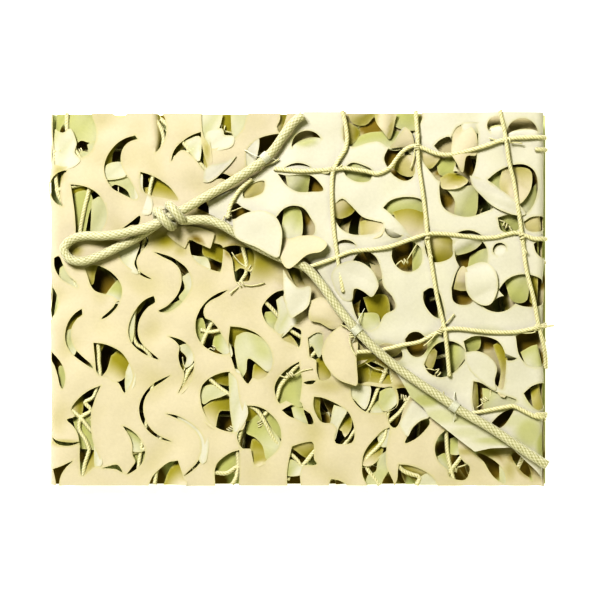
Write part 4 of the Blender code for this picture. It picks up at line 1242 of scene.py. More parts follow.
MIDDLE_LEAVES = (
    # top left
    loose(False, -1.2, 52, 128, 62, 132, 70, 128, 76, 142, 74, 152, 80, 160, 70, 168, 56, 167, 48, 156),
    loose(False, -4, 68, 108, 90, 108, 96, 122, 97, 140, 88, 142, 80, 140, 72, 144, 67, 128),
    loose(False, -3, 86, 144, 94, 140, 92, 152, 84, 158, 78, 156, 80, 150, 87, 151),
    loose(False, -5, 48, 108, 66, 108, 65, 118, 58, 130, 54, 142, 48, 140),
    pinned(True, 0.5, (103, 166, -3, 110, 166, -6, 114, 140, -6), 112, 134, 124, 134, 112, 152, 110, 168,
        100, 168, 102, 152),
    loose(False, -2.2, 102, 167, 110, 162, 122, 162, 126, 174, 120, 178, 104, 179),
    loose(False, -3.4, 106, 178, 122, 176, 132, 180, 141, 200, 132, 202, 126, 190, 114, 184, 108, 188),
    pinned(True, 1.0, (138, 206, -0.8, 178, 206, -0.8, 158, 180, -6.5), 149, 186, 148, 176, 164, 180,
        182, 202, 176, 208, 138, 208, 138, 190),
    loose(False, -0.9, 134, 176, 142, 174, 143, 190, 152, 200, 150, 214, 138, 212, 134, 196),
    loose(False, -5.5, 72, 192, 86, 190, 92, 200, 88, 214, 82, 240, 74, 238),
    loose(False, -2.5, 91, 200, 100, 196, 108, 208, 107, 224, 98, 238, 90, 238, 90, 216),
    pinned(True, 0.5, (70, 192, -6, 90, 192, -6.5, 80, 184, -5), 68, 182, 92, 184, 90, 193, 70, 194),
    loose(False, -1.6, 184, 140, 200, 136, 200, 160, 194, 158, 187, 148),
    pinned(True, 0.5, (173, 152, -6, 200, 139, -6.5, 186, 130, -3), 171, 130, 202, 128, 202, 140, 184, 146,
        172, 154),
    pinned(True, 0.5, (210, 160, -0.8, 208, 136, -1.5, 201, 148, -6), 200, 130, 208, 134, 212, 162,
        206, 170, 201, 150),
    loose(False, -1.6, 198, 106, 221, 106, 221, 122, 216, 132, 206, 142, 200, 130),
    pinned(True, 0.5, (219, 126, -4.5, 231, 128, -6, 224, 108, -4), 218, 106, 233, 106, 231, 130, 219, 128),
    loose(False, -2.2, 230, 106, 248, 106, 248, 120, 240, 136, 232, 134),
    loose(False, -0.9, 206, 128, 222, 128, 224, 134, 234, 136, 232, 146, 220, 150, 210, 150, 205, 140),
    loose(False, 0.7, 203, 182, 204, 171, 210, 165, 219, 163, 228, 160, 236, 155.5, 231, 163, 224, 170,
        217, 177, 209, 182),
    loose(False, -1, 244, 168, 244, 150, 252, 140, 259, 138, 258, 152, 252, 168),
    pinned(True, 0.5, (276, 130, -1, 276, 108, -1.5, 286, 116, -6), 274, 106, 288, 106, 286, 122, 280, 134,
        275, 126),
    loose(False, -2, 206, 198, 228, 187, 242, 184, 236, 198, 226, 200, 214, 204),
    pinned(False, 0.5, (208, 202, -0.8, 224, 210, -0.8, 212, 213, -1.2), 206, 202, 212, 200, 226, 206,
        224, 216, 212, 214),
    # left, under the loop
    loose(False, -3, 58, 268, 66, 264, 70, 274, 80, 290, 66, 286, 58, 280),
    pinned(True, 0.5, (84, 282, -1.5, 83, 266, -1.5, 96, 270, -6), 82, 262, 96, 262, 94, 274, 92, 284,
        86, 284),
    pinned(False, 0.5, (118, 303, -0.8, 105, 296, -1.5, 113, 284, -6.5), 112, 284, 122, 276, 125, 294,
        118, 304, 104, 298, 106, 293),
    loose(False, -3, 62, 332, 72, 330, 76, 348, 72, 356, 62, 348),
    pinned(True, 0.5, (66, 330, -3, 64, 322, -3, 82, 314, -6.5), 66, 310, 80, 306, 84, 316, 74, 326,
        66, 334, 62, 328),
    loose(False, -2.4, 124, 312, 134, 312, 134, 326, 132, 342, 126, 346, 124, 330),
    pinned(True, 0.3, (131, 314, -3.5, 136, 304, -3.5, 142, 308, -6), 134, 304, 146, 298, 140, 310,
        134, 316, 130, 316),
    pinned(True, 0.8, (104, 379, -0.8, 124, 376, -3, 118, 352, -7), 110, 356, 120, 350, 130, 362, 127, 374,
        118, 382, 100, 380, 106, 370),
    loose(False, -1.2, 125, 372, 130, 362, 135, 372, 134, 386, 126, 394, 124, 384),
    pinned(True, 0.3, (93, 370, -4.5, 93, 344, -5, 103, 344, -6.5), 92, 341, 104, 342, 100, 352, 96, 372,
        92, 372),
    loose(False, -5, 52, 368, 60, 366, 66, 374, 66, 392, 58, 390),
    loose(False, -4, 44, 296, 54, 292, 60, 304, 56, 318, 44, 322),
    loose(False, -2, 181, 277, 192, 272, 193, 290, 184, 302, 178, 297, 184, 288),
    loose(False, -4, 156, 306, 172, 303, 184, 298, 184, 306, 170, 316, 156, 314),
    loose(False, -1.4, 112, 243, 138, 242, 136, 256, 134, 264, 138, 274, 126, 270, 114, 258),
    pinned(True, 0.5, (203, 253, -5, 222, 262, -5.5, 222, 244, -6.5), 202, 240, 224, 242, 224, 262,
        210, 258, 202, 254),
    loose(False, -1.8, 188, 254, 198, 256, 207, 258, 210, 270, 198, 266, 190, 260),
    pinned(True, 0.5, (234, 270, -3, 254, 270, -2, 240, 253, -6.5), 232, 256, 242, 252, 256, 248, 256, 272,
        240, 268, 234, 272),
    loose(False, -5, 193, 322, 202, 318, 206, 334, 203, 346, 194, 340),
    pinned(False, 0.5, (229, 354, -1, 216, 349, -4.5, 219, 332, -4.5), 214, 336, 222, 330, 232, 350,
        230, 358, 216, 350, 212, 344),
    loose(False, -2.4, 236, 336, 246, 332, 262, 338, 275, 350, 275, 368, 267, 372, 258, 365, 248, 359,
        246, 372, 240, 378, 236, 362, 234, 346),
    pinned(True, 0.5, (228, 338, -6.5, 262, 340, -5, 246, 328, -4), 226, 324, 262, 331, 264, 341, 246, 341,
        234, 348, 226, 342),
    pinned(True, 0.5, (256, 383, -0.8, 267, 377, -1.5, 256, 363, -6.5), 253, 366, 258, 362, 268, 369,
        268, 378, 258, 384, 252, 380),
    pinned(False, 0.5, (270, 330, -2, 263, 318, -4, 274, 313, -6.5), 265, 312, 275, 312, 277, 322, 272, 332,
        262, 324),
    loose(False, -1.2, 276, 300, 284, 296, 290, 312, 298, 320, 290, 330, 280, 338, 274, 328, 278, 316),
    pinned(True, 0.5, (282, 342, -1, 297, 348, -1, 289, 335, -4), 280, 336, 288, 334, 296, 342, 298, 350,
        282, 344),
    loose(False, -1.8, 178, 346, 186, 344, 194, 352, 192, 364, 184, 368, 186, 358, 180, 351),
    pinned(True, 0.5, (178, 392, -1, 192, 376, -2, 182, 366, -6), 180, 364, 194, 364, 192, 380, 182, 394,
        176, 394, 182, 380),
    # lower left
    pinned(True, 0.5, (70, 410, -1.5, 74, 416, -2, 81, 400, -6), 68, 404, 80, 396, 82, 406, 80, 416,
        72, 416),
    loose(False, -5.2, 70, 416, 90, 418, 92, 436, 95, 450, 86, 450, 78, 448, 74, 430),
    pinned(True, 0.5, (84, 475, -1.5, 97, 463, -2, 90, 450, -6.5), 86, 446, 96, 452, 98, 466, 88, 474,
        82, 476),
    loose(False, -1.2, 93, 440, 98, 452, 102, 464, 94, 468, 93, 452),
    pinned(False, 0.5, (131, 450, -1, 144, 449, -2.5, 128, 428, -6), 124, 426, 138, 434, 146, 450, 132, 452,
        128, 440),
    loose(False, -5, 130, 452, 146, 452, 144, 464, 132, 464),
    loose(False, -1.4, 176, 412, 196, 420, 208, 438, 206, 462, 199, 462, 199, 440, 190, 428, 178, 420),
    pinned(True, 0.8, (165, 492, -2.5, 184, 480, -0.8, 176, 463, -6.5), 166, 476, 172, 466, 180, 461,
        186, 478, 186, 494, 163, 494),
    loose(False, -3, 201, 388, 210, 385, 222, 388, 228, 393, 222, 397, 210, 401, 203, 405, 199, 396),
    pinned(True, 0.5, (203, 417, -1, 217, 424, -1.5, 224, 398, -7), 202, 408, 212, 401, 224, 397, 232, 400,
        231, 411, 220, 412, 217, 420, 214, 430, 202, 420),
    loose(False, -1.1, 228, 368, 240, 372, 244, 396, 248, 414, 240, 430, 234, 434, 230, 414, 229, 398),
    pinned(True, 0.5, (202, 388, -6, 226, 374, -5.5, 222, 386, -7), 200, 388, 210, 376, 228, 370, 229, 386,
        214, 384, 206, 389),
    pinned(False, 0.5, (248, 432, -5.5, 278, 444, -2, 266, 457, -1.4), 247, 424, 258, 416, 272, 430,
        281, 444, 272, 458, 266, 460, 262, 446, 254, 438, 246, 434),
    pinned(True, 0.5, (244, 418, -5, 258, 413, -7, 252, 405, -4), 243, 404, 258, 405, 260, 414, 248, 422,
        242, 418),
    loose(False, -5.6, 260, 408, 272, 412, 283, 430, 282, 440, 272, 430),
    pinned(True, 0.5, (254, 465, -0.8, 268, 459, -1.5, 254, 441, -6.5), 250, 448, 252, 440, 258, 441,
        264, 447, 270, 460, 262, 466, 253, 467),
    loose(False, -5, 272, 380, 284, 372, 302, 362, 306, 384, 304, 406, 290, 406, 278, 406, 272, 392),
    pinned(False, 0.5, (297, 421, -1.2, 307, 424, -1.5, 297, 406, -4), 291, 408, 303, 402, 304, 412,
        308, 426, 296, 422),
    pinned(True, 0.5, (292, 449, -3, 314, 446, -3, 310, 460, -5), 290, 448, 302, 442, 315, 440, 314, 460,
        304, 458, 296, 452),
    loose(False, -1.6, 284, 464, 292, 460, 300, 466, 304, 468, 300, 476, 286, 476),
    loose(False, -5.4, 213, 462, 226, 452, 241, 449, 240, 474, 226, 472, 214, 474),
    # near the corner's border
    loose(False, -1.4, 334, 405, 347, 410, 344, 418, 339, 428, 334, 442, 324, 434, 330, 424, 332, 412),
    pinned(True, 0.3, (314, 412, -2, 313, 398, -2, 321, 404, -6), 312, 396, 320, 397, 320, 410, 322, 424,
        314, 416),
    pinned(True, 0.5, (340, 429, -2.5, 350, 426, -4, 348, 417, -7), 338, 430, 344, 419, 351, 415, 352, 428,
        345, 438, 342, 432),
    loose(False, -1.3, 349, 384, 362, 384, 371, 387, 370, 400, 365, 410, 356, 402, 350, 394),
    loose(False, -1.6, 380, 392, 388, 388, 396, 390, 398, 402, 392, 409, 384, 412, 379, 404),
    pinned(False, 0.2, (372, 412, -1.5, 382, 412, -1.5, 377, 404, -4), 370, 414, 374, 404, 381, 402,
        383, 414),
    pinned(True, 0.5, (357, 382, -3.5, 369, 383, -3.5, 364, 360, -6.5), 355, 364, 368, 356, 371, 372,
        370, 385, 356, 384),
    pinned(True, 0.5, (372, 383, -3, 392, 383, -3, 378, 370, -7), 372, 368, 388, 368, 394, 384, 370, 384),
    pinned(True, 0.4, (354, 362, 0.4, 368, 358, 0.4, 360, 342, -3.5), 352, 346, 358, 340, 372, 352,
        368, 360, 356, 366, 352, 362),
    loose(False, 0.6, 411, 402, 420, 397, 428, 407, 430, 417, 421, 421, 413, 428, 408, 437, 403, 432,
        400, 424, 405, 414),
    pinned(True, 0.5, (364, 462, -1.5, 380, 460, -2, 378, 438, -7), 366, 440, 376, 436, 384, 444, 382, 456,
        372, 466, 362, 464),
    loose(False, -2.4, 377, 436, 390, 426, 392, 440, 386, 448, 380, 446),
    loose(False, -3, 378, 458, 388, 452, 390, 468, 384, 480, 378, 490, 366, 490, 368, 476, 376, 472),
    pinned(False, 0.3, (446, 472, -1, 437, 460, -1.5, 446, 455, -5), 436, 458, 446, 454, 450, 466, 450, 476,
        440, 468),
    pinned(False, 0.3, (450, 452, -5, 460, 452, -2, 454, 440, -6), 450, 440, 459, 438, 461, 454, 450, 454),
    loose(False, -2, 500, 464, 508, 476, 508, 488, 501, 486),
    pinned(True, 0.5, (400, 466, -4, 430, 480, -4, 414, 480, -6.5), 396, 463, 420, 466, 436, 480, 438, 488,
        420, 484, 404, 474),
    loose(False, -2.2, 416, 482, 428, 474, 440, 486, 440, 494, 414, 494),
    loose(False, -2.2, 306, 336, 317, 331, 324, 334, 324, 346, 319, 358, 312, 346, 308, 350),
    pinned(True, 0.3, (318, 378, -2, 330, 378, -3, 321, 359, -6), 316, 360, 325, 356, 333, 378, 320, 384),
    pinned(True, 0.5, (304, 286, -0.6, 296, 288, -1, 290, 268, -7), 286, 268, 300, 266, 308, 288, 298, 292),
    pinned(True, 0.8, (168, 234, 0.6, 212, 234, 2.6, 184, 247, 1.2), 166, 234, 167, 232, 178, 226.5,
        198, 227, 213.5, 232.5, 214.5, 234, 211, 247, 210, 248.5, 197, 243, 189.5, 240, 185, 248, 184, 248,
        174, 241),
)

# Painted deep shade: places where holes show only deep shadow, painted dark: middle and half sizes in pixels
SHADE_SPOT_SOFT = 0.5
PAINTED_SHADE_SPOTS = (
    (63, 133, 4, 6), (72, 150, 4, 4), (82, 145, 6, 6), (87, 114, 4, 4), (122, 146, 14, 12),
    (112, 158, 5, 6), (118, 188, 8, 5), (145, 180, 5, 8), (94, 193, 7, 6), (78, 223, 4, 4), (87, 222, 4, 8),
    (131, 222, 9, 6), (199, 162, 3, 3), (204, 168, 5, 4), (227, 131, 6, 5), (225, 177, 9, 4),
    (264, 144, 10, 10), (275, 138, 8, 6), (205, 207, 8, 7), (228, 216, 4, 9), (103, 283, 14, 12),
    (96, 275, 8, 8), (57, 263, 4, 7), (76, 314, 6, 7), (84, 359, 9, 7), (141, 310, 9, 12),
    (136, 330, 3, 14), (148, 353, 11, 7), (107, 360, 8, 16), (122, 382, 5, 10), (55, 360, 7, 10),
    (60, 372, 4, 8), (184, 268, 6, 8), (181, 287, 3, 4), (176, 293, 4, 4), (171, 302, 5, 6),
    (141, 250, 6, 12), (144, 275, 8, 5), (195, 248, 9, 12), (214, 266, 8, 7), (234, 254, 9, 10),
    (245, 275, 6, 8), (201, 311, 4, 10), (198, 323, 4, 5), (216, 333, 6, 8), (208, 344, 6, 6),
    (218, 351, 7, 5), (219, 294, 11, 5), (232, 352, 4, 18), (249, 370, 7, 14), (271, 300, 11, 10),
    (266, 310, 6, 8), (292, 333, 10, 9), (181, 356, 6, 6), (186, 386, 6, 8), (84, 409, 6, 8),
    (91, 400, 7, 12), (82, 456, 5, 7), (82, 424, 8, 5), (135, 469, 8, 7), (146, 393, 10, 12),
    (141, 412, 4, 16), (154, 433, 14, 7), (200, 432, 4, 8), (192, 471, 8, 7), (156, 478, 10, 14),
    (216, 378, 14, 8), (216, 402, 14, 8), (226, 422, 9, 11), (257, 411, 5, 5), (247, 443, 7, 9),
    (273, 441, 4, 5), (287, 411, 7, 6), (308, 418, 6, 8), (298, 456, 10, 10), (294, 481, 8, 10),
    (222, 471, 5, 4), (220, 481, 8, 10), (326, 411, 10, 13), (341, 438, 7, 8), (350, 434, 6, 11),
    (373, 391, 6, 8), (361, 408, 5, 5), (380, 365, 9, 6), (401, 400, 10, 14), (394, 419, 9, 10),
    (384, 450, 6, 5), (366, 472, 5, 7), (375, 467, 6, 4), (388, 484, 8, 10), (442, 448, 8, 7),
    (453, 436, 8, 6), (455, 460, 6, 10), (461, 473, 11, 10), (495, 467, 9, 13), (482, 458, 8, 6),
    (518, 457, 8, 6), (526, 470, 7, 9), (547, 457, 6, 8), (401, 476, 5, 8), (311, 353, 4, 6),
    (336, 484, 8, 6), (62, 470, 12, 8), (57, 482, 4, 10), (51, 300, 5, 8), (418, 432, 12, 14),
    # seen through the corner
    (305, 219, 6, 7), (315, 183, 11, 10), (365, 257, 9, 6), (391, 207, 9, 8), (493, 178, 8, 6),
    (524, 169, 12, 6), (533, 180, 5, 7), (474, 259, 14, 15), (504, 289, 6, 4), (527, 302, 7, 6),
    (543, 283, 7, 6), (487, 343, 11, 6), (499, 384, 5, 6), (371, 126, 12, 9), (349, 142, 12, 5),
    (318, 134, 5, 5), (351, 214, 14, 11), (393, 157, 9, 9), (401, 175, 11, 7), (406, 256, 12, 14),
    (446, 200, 8, 7), (480, 197, 6, 9), (432, 303, 9, 15), (463, 295, 11, 10), (434, 361, 11, 14),
    (528, 341, 12, 11), (542, 360, 4, 8), (362, 301, 10, 14), (528, 389, 7, 6), (415, 344, 11, 12),
    (470, 165, 6, 10), (442, 172, 6, 4), (500, 247, 5, 7), (534, 250, 4, 9), (500, 418, 13, 9),
    (519, 144, 7, 5), (241, 212, 9, 7), (479, 397, 4, 12), (300, 166, 10, 4), (287, 214, 8, 7),
    (309, 184, 9, 10),
)
# Painted shadow where the knot, leaves and folds shade the cloth: middle, half sizes in pixels, strength.
# The softness of a table is how much of a patch's half size it fades over.
MIDDLE_SOFT, CORNER_SOFT = 1.3, 0.9
SHADED_MIDDLE = (
    (262, 262, 26, 22, 0.95), (244, 252, 14, 12, 0.6), (165, 240, 18, 12, 1.0), (180, 250, 10, 8, 0.5),
    (222, 237, 12, 9, 0.9), (58, 172, 9, 16, 0.6), (206, 150, 6, 18, 0.7), (76, 262, 8, 12, 0.5),
    (328, 386, 24, 10, 0.4), (305, 258, 12, 12, 0.5), (74, 250, 10, 8, 0.9), (110, 242, 26, 5, 0.7),
    (150, 232, 20, 5, 0.7), (60, 443, 22, 4, 0.8), (100, 296, 12, 12, 0.25), (490, 452, 22, 7, 0.95),
    (510, 470, 8, 14, 0.5), (455, 428, 14, 8, 0.5), (466, 452, 14, 5, 0.6), (404, 388, 16, 10, 0.6),
    (360, 350, 10, 12, 0.5), (290, 258, 18, 10, 0.4),
)
SHADED_CORNER = (
    (405, 394, 26, 14, 0.65), (426, 400, 18, 8, 0.9), (442, 416, 22, 9, 0.5), (470, 432, 22, 6, 0.35),
    (528, 432, 16, 18, 0.75), (543, 444, 10, 16, 1.0), (431, 345, 12, 13, 0.75), (304, 140, 16, 8, 0.8),
    (372, 345, 20, 6, 0.5), (466, 420, 18, 6, 0.6), (500, 440, 30, 5, 0.7), (385, 357, 14, 8, 0.7),
    (250, 186, 8, 8, 0.5), (536, 400, 14, 10, 0.5), (350, 130, 10, 8, 0.3), (395, 365, 12, 6, 0.5),
    (486, 330, 20, 5, 0.3), (515, 420, 18, 8, 0.4),
)
PATCH_EDGE = 1.3  # where a patch ends, in its half sizes
LEAF_CLOUDS = 45
LEAF_SHADE_DEPTH = 0.0012
LEAF_INSET = 0.0006  # from the cut edge to a leaf that ends there


def patched(table, soft, x, y):
    """How strongly a table's patches of painted shade colour the cloth at a place, from 0 to 1."""
    px, py = to_pixel(x, y)
    strongest = 0.0
    for middle_x, middle_y, half_x, half_y, *strength in table:
        across, along = abs(px - middle_x) / half_x, abs(py - middle_y) / half_y
        if across < PATCH_EDGE and along < PATCH_EDGE:
            strong = smooth((PATCH_EDGE - math.hypot(across, along)) / soft)
            strongest = max(strongest, strong * (strength[0] if strength else 1.0))
    return strongest


def leaf_rise(leaf, place):
    """How high a leaf is over its layer at a place: a slope through its three pins, with a bow along it."""
    first, second, third = (from_pixel(x, y) for x, y, _ in leaf.pins)
    one, two, gone = second - first, third - first, place - first
    scale = one.x * two.y - one.y * two.x
    a = (gone.x * two.y - gone.y * two.x) / scale
    b = (one.x * gone.y - one.y * gone.x) / scale
    rise, rise_a, rise_b = (rise / 1000 for _, _, rise in leaf.pins)
    t = min(1.0, max(0.0, a + b))
    return rise + a * (rise_a - rise) + b * (rise_b - rise) + leaf.bow / 1000 * 4 * t * (1 - t)


def leaf_shade(leaf, place, rise):
    """How much painted shade a leaf gets: leaves below their layer get more of it, unevenly from end to end.
    """
    start = from_pixel(*leaf.outline[0])
    slow = noise.noise((place.x * LEAF_CLOUDS, place.y * LEAF_CLOUDS, start.x * 2 * LEAF_CLOUDS))
    return smooth(-rise / LEAF_SHADE_DEPTH) * min(1.0, max(0.0, 0.38 + 0.75 * slow))


def leaf_cloth(leaf, spacing, face_up):
    """A leaf's flat places and its faces, wound so that its wanted side is up, on a layer that is face_up."""
    edge = DEPTH / 2 - LEAF_INSET
    ring = smooth_ring(leaf.outline, spacing)
    border = [Vector((place.x, min(edge, max(-edge, place.y)))) for place in ring]
    kept, faces = cut_cloth(border, [], spacing)
    turned = [face if leaf.face == face_up else face[::-1] for face in faces]
    return kept, turned


def stepped(corners, spacing):
    """A closed outline's corners with even steps between them."""
    found = []
    for start, end in zip(corners, corners[1:] + corners[:1]):
        steps = max(1, round((end - start).length / spacing))
        found += [start.lerp(end, step / steps) for step in range(steps)]
    return found


def border_of(low_x, high_x, spacing):
    """The outline of a whole layer, from cut edge to cut edge."""
    half = DEPTH / 2
    corners = ((low_x, -half), (high_x, -half), (high_x, half), (low_x, half))
    return stepped([Vector(corner) for corner in corners], spacing)


# The corner's cut borders in pixels: the far side down to the tip, and the near side back to the fold
CORNER_FAR = pairs(
    304, 112, 297, 125, 290, 138, 280, 152, 268, 166, 256, 176, 244, 184, 226, 194, 208, 202,
)
CORNER_NEAR = pairs(
    209, 214, 224, 221, 236, 230, 250, 240, 270, 252, 290, 258, 306, 258, 316, 268, 326, 283, 338, 300,
    348, 318, 352, 332, 363, 341, 378, 355, 392, 367, 401, 380, 410.5, 397, 423, 407.4, 428.7, 416,
    446, 429.4, 459.3, 440, 474.6, 451.4, 490, 448, 510, 447, 520, 456, 533, 468, 545, 480, 549, 486,
)


def corner_outline(spacing):
    """The turned-over corner's outline, scalloped along its roped borders."""
    near_side = [from_pixel(*pixel) for pixel in CORNER_NEAR]
    far_side = [from_pixel(*pixel) for pixel in CORNER_FAR]
    half = DEPTH / 2
    crease = [Vector((RIGHT_CREASE_X, -half)), Vector((RIGHT_CREASE_X, half))]
    return stepped([*near_side, *crease, *far_side], spacing)


COVER_FADE = 0.010
COVER_AT_BORDER = 0.3  # the cover that under_corner begins with at the corner's borders


def under_corner(x, y):
    """How far a place is under the turned-over corner: 1 well inside it and 0 outside."""
    if x < TIP_X:
        return 0.0
    far, near = flap_sides(x)
    return smooth(min(y - near, far - y) / COVER_FADE + COVER_AT_BORDER)


SPACING = 0.0026  # between the points of the cloth
BASE_SPACING = 0.0036
BASE_BORDER = 0.004
BASE_SHIFT = 0.986  # the base is farther from the camera than FOCUS_Z, so it looks this much smaller
UNDERLAY_Z = 0.0002
MIDDLE_LOWEST = 0.0022  # height over the ground that no tongue of the middle layer goes below
CORNER_LOWEST = 0.0012  # the same over the middle layer, for the corner's tongues


def base_layer():
    made = cloth_layer(
        "scrim_base_layer",
        "base",
        border_of(LEFT_CREASE_X, WIDTH / 2, BASE_BORDER),
        base_slits(),
        BASE_SPACING,
        floor=lambda x, y: 0.0,
        lift=0.001,
        face_up=False,
        # Painted shade: the base lies under the other layers, so all of it gets at least half, and its
        # standing tongues get less
        shade=lambda x, y, rise: 0.55 + 0.45 * smooth(1 - rise / 0.010),
        # The base's dark spots are painted deep shade
        deep=lambda vert: patched(PAINTED_SHADE_SPOTS, SHADE_SPOT_SOFT, vert.x * BASE_SHIFT, vert.y * BASE_SHIFT),
        # The base's back is painted lighter to make up for its shade
        back=BASE_BACK_PAINTED_LIGHT,
        wave=0.0011,
        seed=16,
    )
    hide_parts("scrim_base", "scrim_left_fold_second")
    backing = cover_slits()
    return made


def cover_slits():
    """A thin sheet of cloth right under the base layer, all painted deep shade so that its slits show dark.
    """
    half = DEPTH / 2
    wide = WIDTH / 2 - BASE_BORDER
    corners = ((-wide, -half), (wide, -half), (wide, half), (-wide, half))
    verts = [Vector((x, y, UNDERLAY_Z)) for x, y in corners]
    made = piece_of("scrim_painted_shade_underlay", verts, [(0, 1, 2, 3)], [SCRIM_BACK])
    # All of this sheet is painted deep shade
    give(made, "deep", [1.0] * 4)
    return made


def middle_shade(x, y, rise):
    """Painted shade on the middle layer: where it dips, under the corner, and in its painted shadow patches.
    """
    dipped = smooth((0.0005 - rise) / 0.0056)
    return max(dipped, under_corner(x, y) * 0.3, patched(SHADED_MIDDLE, MIDDLE_SOFT, x, y))


def middle_layer():
    made = cloth_layer(
        "scrim_middle_layer",
        "middle",
        border_of(LEFT_CREASE_X, RIGHT_CREASE_X, SPACING),
        [*MIDDLE_SLITS, *covered_slits()],
        SPACING,
        floor=lambda x, y: MIDDLE_LOWEST - MIDDLE_Z,
        lift=0.0012,
        face_up=True,
        shade=middle_shade,
        holes=MIDDLE_HOLES,
        leaves=MIDDLE_LEAVES,
        # Under the corner, the middle layer gets painted deep shade in the spots that the corner's holes show
        deep=lambda vert: under_corner(vert.x, vert.y) * patched(PAINTED_SHADE_SPOTS, SHADE_SPOT_SOFT, vert.x, vert.y),
    )
    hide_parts("scrim_middle", "scrim_left_fold_first", "scrim_right_fold_second")
    return made


def corner_layer():
    outline = corner_outline(SPACING)
    made = cloth_layer(
        "scrim_corner_layer",
        "flap",
        outline,
        FLAP_SLITS,
        SPACING,
        floor=lambda x, y: middle_height(x, y) + CORNER_LOWEST - flap_height(x, y),
        lift=0.0016,
        face_up=False,
        # Painted shade where the corner's cloth dips, and in its painted shadow patches
        shade=lambda x, y, rise: max(smooth(-rise / 0.006), patched(SHADED_CORNER, CORNER_SOFT, x, y)),
        holes=CORNER_HOLES,
        leaves=CORNER_LEAVES,
    )
    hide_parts("scrim_corner", "scrim_right_fold_first")
    area = abs(sum(a.x * b.y - b.x * a.y for a, b in zip(outline, outline[1:] + outline[:1]))) / 2
    return made


base_layer()
middle_layer()
corner_layer()

# ---------------------------------------------------------------- net cords
# Lines of the net on the corner, in pixels, as they lie in the photograph
NET_ON_CORNER = [pairs(*row) for row in (
    (252, 179, 240, 190, 231, 205, 228, 219),
    (342, 111, 345.5, 125, 347, 140, 345, 150, 338, 161, 333, 172, 331.5, 190, 333, 224, 338, 262,
        343, 292),
    (415.6, 111, 417.2, 135, 418, 161.7, 420, 178, 425, 215, 427, 238, 431, 265, 437, 300, 444, 330,
        449, 376),
    (499, 111, 504.2, 135, 508, 162, 512.6, 181, 518, 215, 521.8, 241.8, 525, 268.6, 532.5, 299, 539, 335,
        547, 368),
    (274, 169, 300, 171.5, 331.5, 170, 343, 168.6, 366, 171.7, 377, 174, 389, 168.6, 401, 153.3, 415, 146,
        433, 153, 450, 155, 480, 148, 505, 140, 532, 138, 549, 138),
    (300, 270, 331.5, 259.4, 350, 252, 369, 250, 389, 247, 415, 238, 430, 234, 453, 235, 480, 238, 497, 237,
        515, 233, 533, 239, 549, 239),
    (357, 352, 380, 350, 404, 344.5, 419.5, 341.4, 440, 331, 455, 328.4, 491, 332, 517, 331.5, 537, 327,
        549, 324),
    (466, 414, 477.4, 411.8, 512.6, 405.7, 524, 411, 535.6, 416.4, 549, 414.9),
)]
# Lines of the net under the middle layer, in pixels, as its slits show them
NET_UNDER_MIDDLE = [pairs(*row) for row in (
    (66, 112, 66, 130, 72, 146, 80, 158, 86, 172, 88, 188, 84, 205, 80, 225, 77, 244, 70, 262, 76, 290,
        88, 320, 97, 345, 98, 362, 99, 378, 92, 398, 84, 403, 90, 411, 80, 418, 78, 430, 84, 440, 88, 450,
        84, 464, 80, 486),
    (48, 392, 60, 402, 71, 411, 80, 419, 90, 431, 101, 440, 111, 448, 124, 453, 134, 453, 146, 449,
        170, 452, 196, 470, 214, 473, 226, 474, 236, 468, 252, 470, 290, 480),
    (150, 113, 157, 122, 163, 137, 158, 160, 150, 185, 146, 225, 141, 255, 136, 290, 133, 338, 142, 348,
        152, 362, 150, 400, 140, 452, 136, 485),
    (160, 118, 176, 134, 186, 146, 199, 162, 214, 178, 232, 196, 238, 230, 246, 262, 246, 272, 238, 285,
        224, 300, 214, 318, 203, 340, 196, 362, 189, 370, 181, 388, 172, 410, 160, 440, 156, 470, 154, 485),
    (196, 362, 210, 380, 222, 390, 235, 400, 243, 416, 241, 430, 237, 448, 238, 462, 236, 478, 232, 485),
    (200, 330, 210, 332, 222, 330),
    (244, 404, 257, 411, 266, 425, 274, 440, 284, 450, 298, 462, 306, 485),
    (264, 416, 276, 400, 280, 387, 290, 374, 300, 364, 312, 356, 322, 342, 330, 320, 322, 290, 316, 250,
        322, 200, 322, 150, 330, 114),
    (236, 290, 252, 294, 266, 303, 278, 316, 288, 328, 299, 336, 316, 346, 340, 352, 372, 360, 388, 368),
    (414, 114, 408, 200, 400, 280, 396, 340, 388, 366, 378, 390, 370, 408, 356, 430, 340, 449, 320, 448,
        300, 470),
    (391, 350, 392, 372, 394, 395, 388, 415, 384, 440, 366, 462, 374, 478, 380, 486),
    (430, 372, 412, 396, 401, 412, 390, 422, 378, 436),
    (420, 384, 411, 402, 402, 428, 398, 450, 402, 470, 420, 478, 417, 486),
    (446, 416, 447, 432, 448, 452, 452, 472, 456, 485),
    (500, 114, 494, 200, 488, 300, 482, 380, 478, 430, 463, 456, 452, 470, 440, 485),
    (530, 440, 522, 462, 512, 482),
    (50, 150, 51, 168, 53, 182, 57, 196, 64, 206),
    (52, 190, 76, 185, 105, 178, 124, 176, 150, 168, 176, 156, 190, 150, 206, 140),
    (330, 168, 430, 160, 545, 150),
    (430, 300, 545, 262),
    (388, 366, 470, 352, 545, 340),
    (404, 400, 470, 412, 545, 420),
)]
NET_ALONG = (150, 239, 326, 414)
NET_ACROSS = (63, 150, 237, 324, 412, 499)
UNDER_DROP = 0.0008
CORD_LAY = 0.0085
CORD_GROOVE = 0.26
CORNER_CORD = 0.0042
NET_STEP = 0.008
WANDER_STEP = 0.018
FOLD_LEAD = 0.002
BASE_SLANT = 0.006
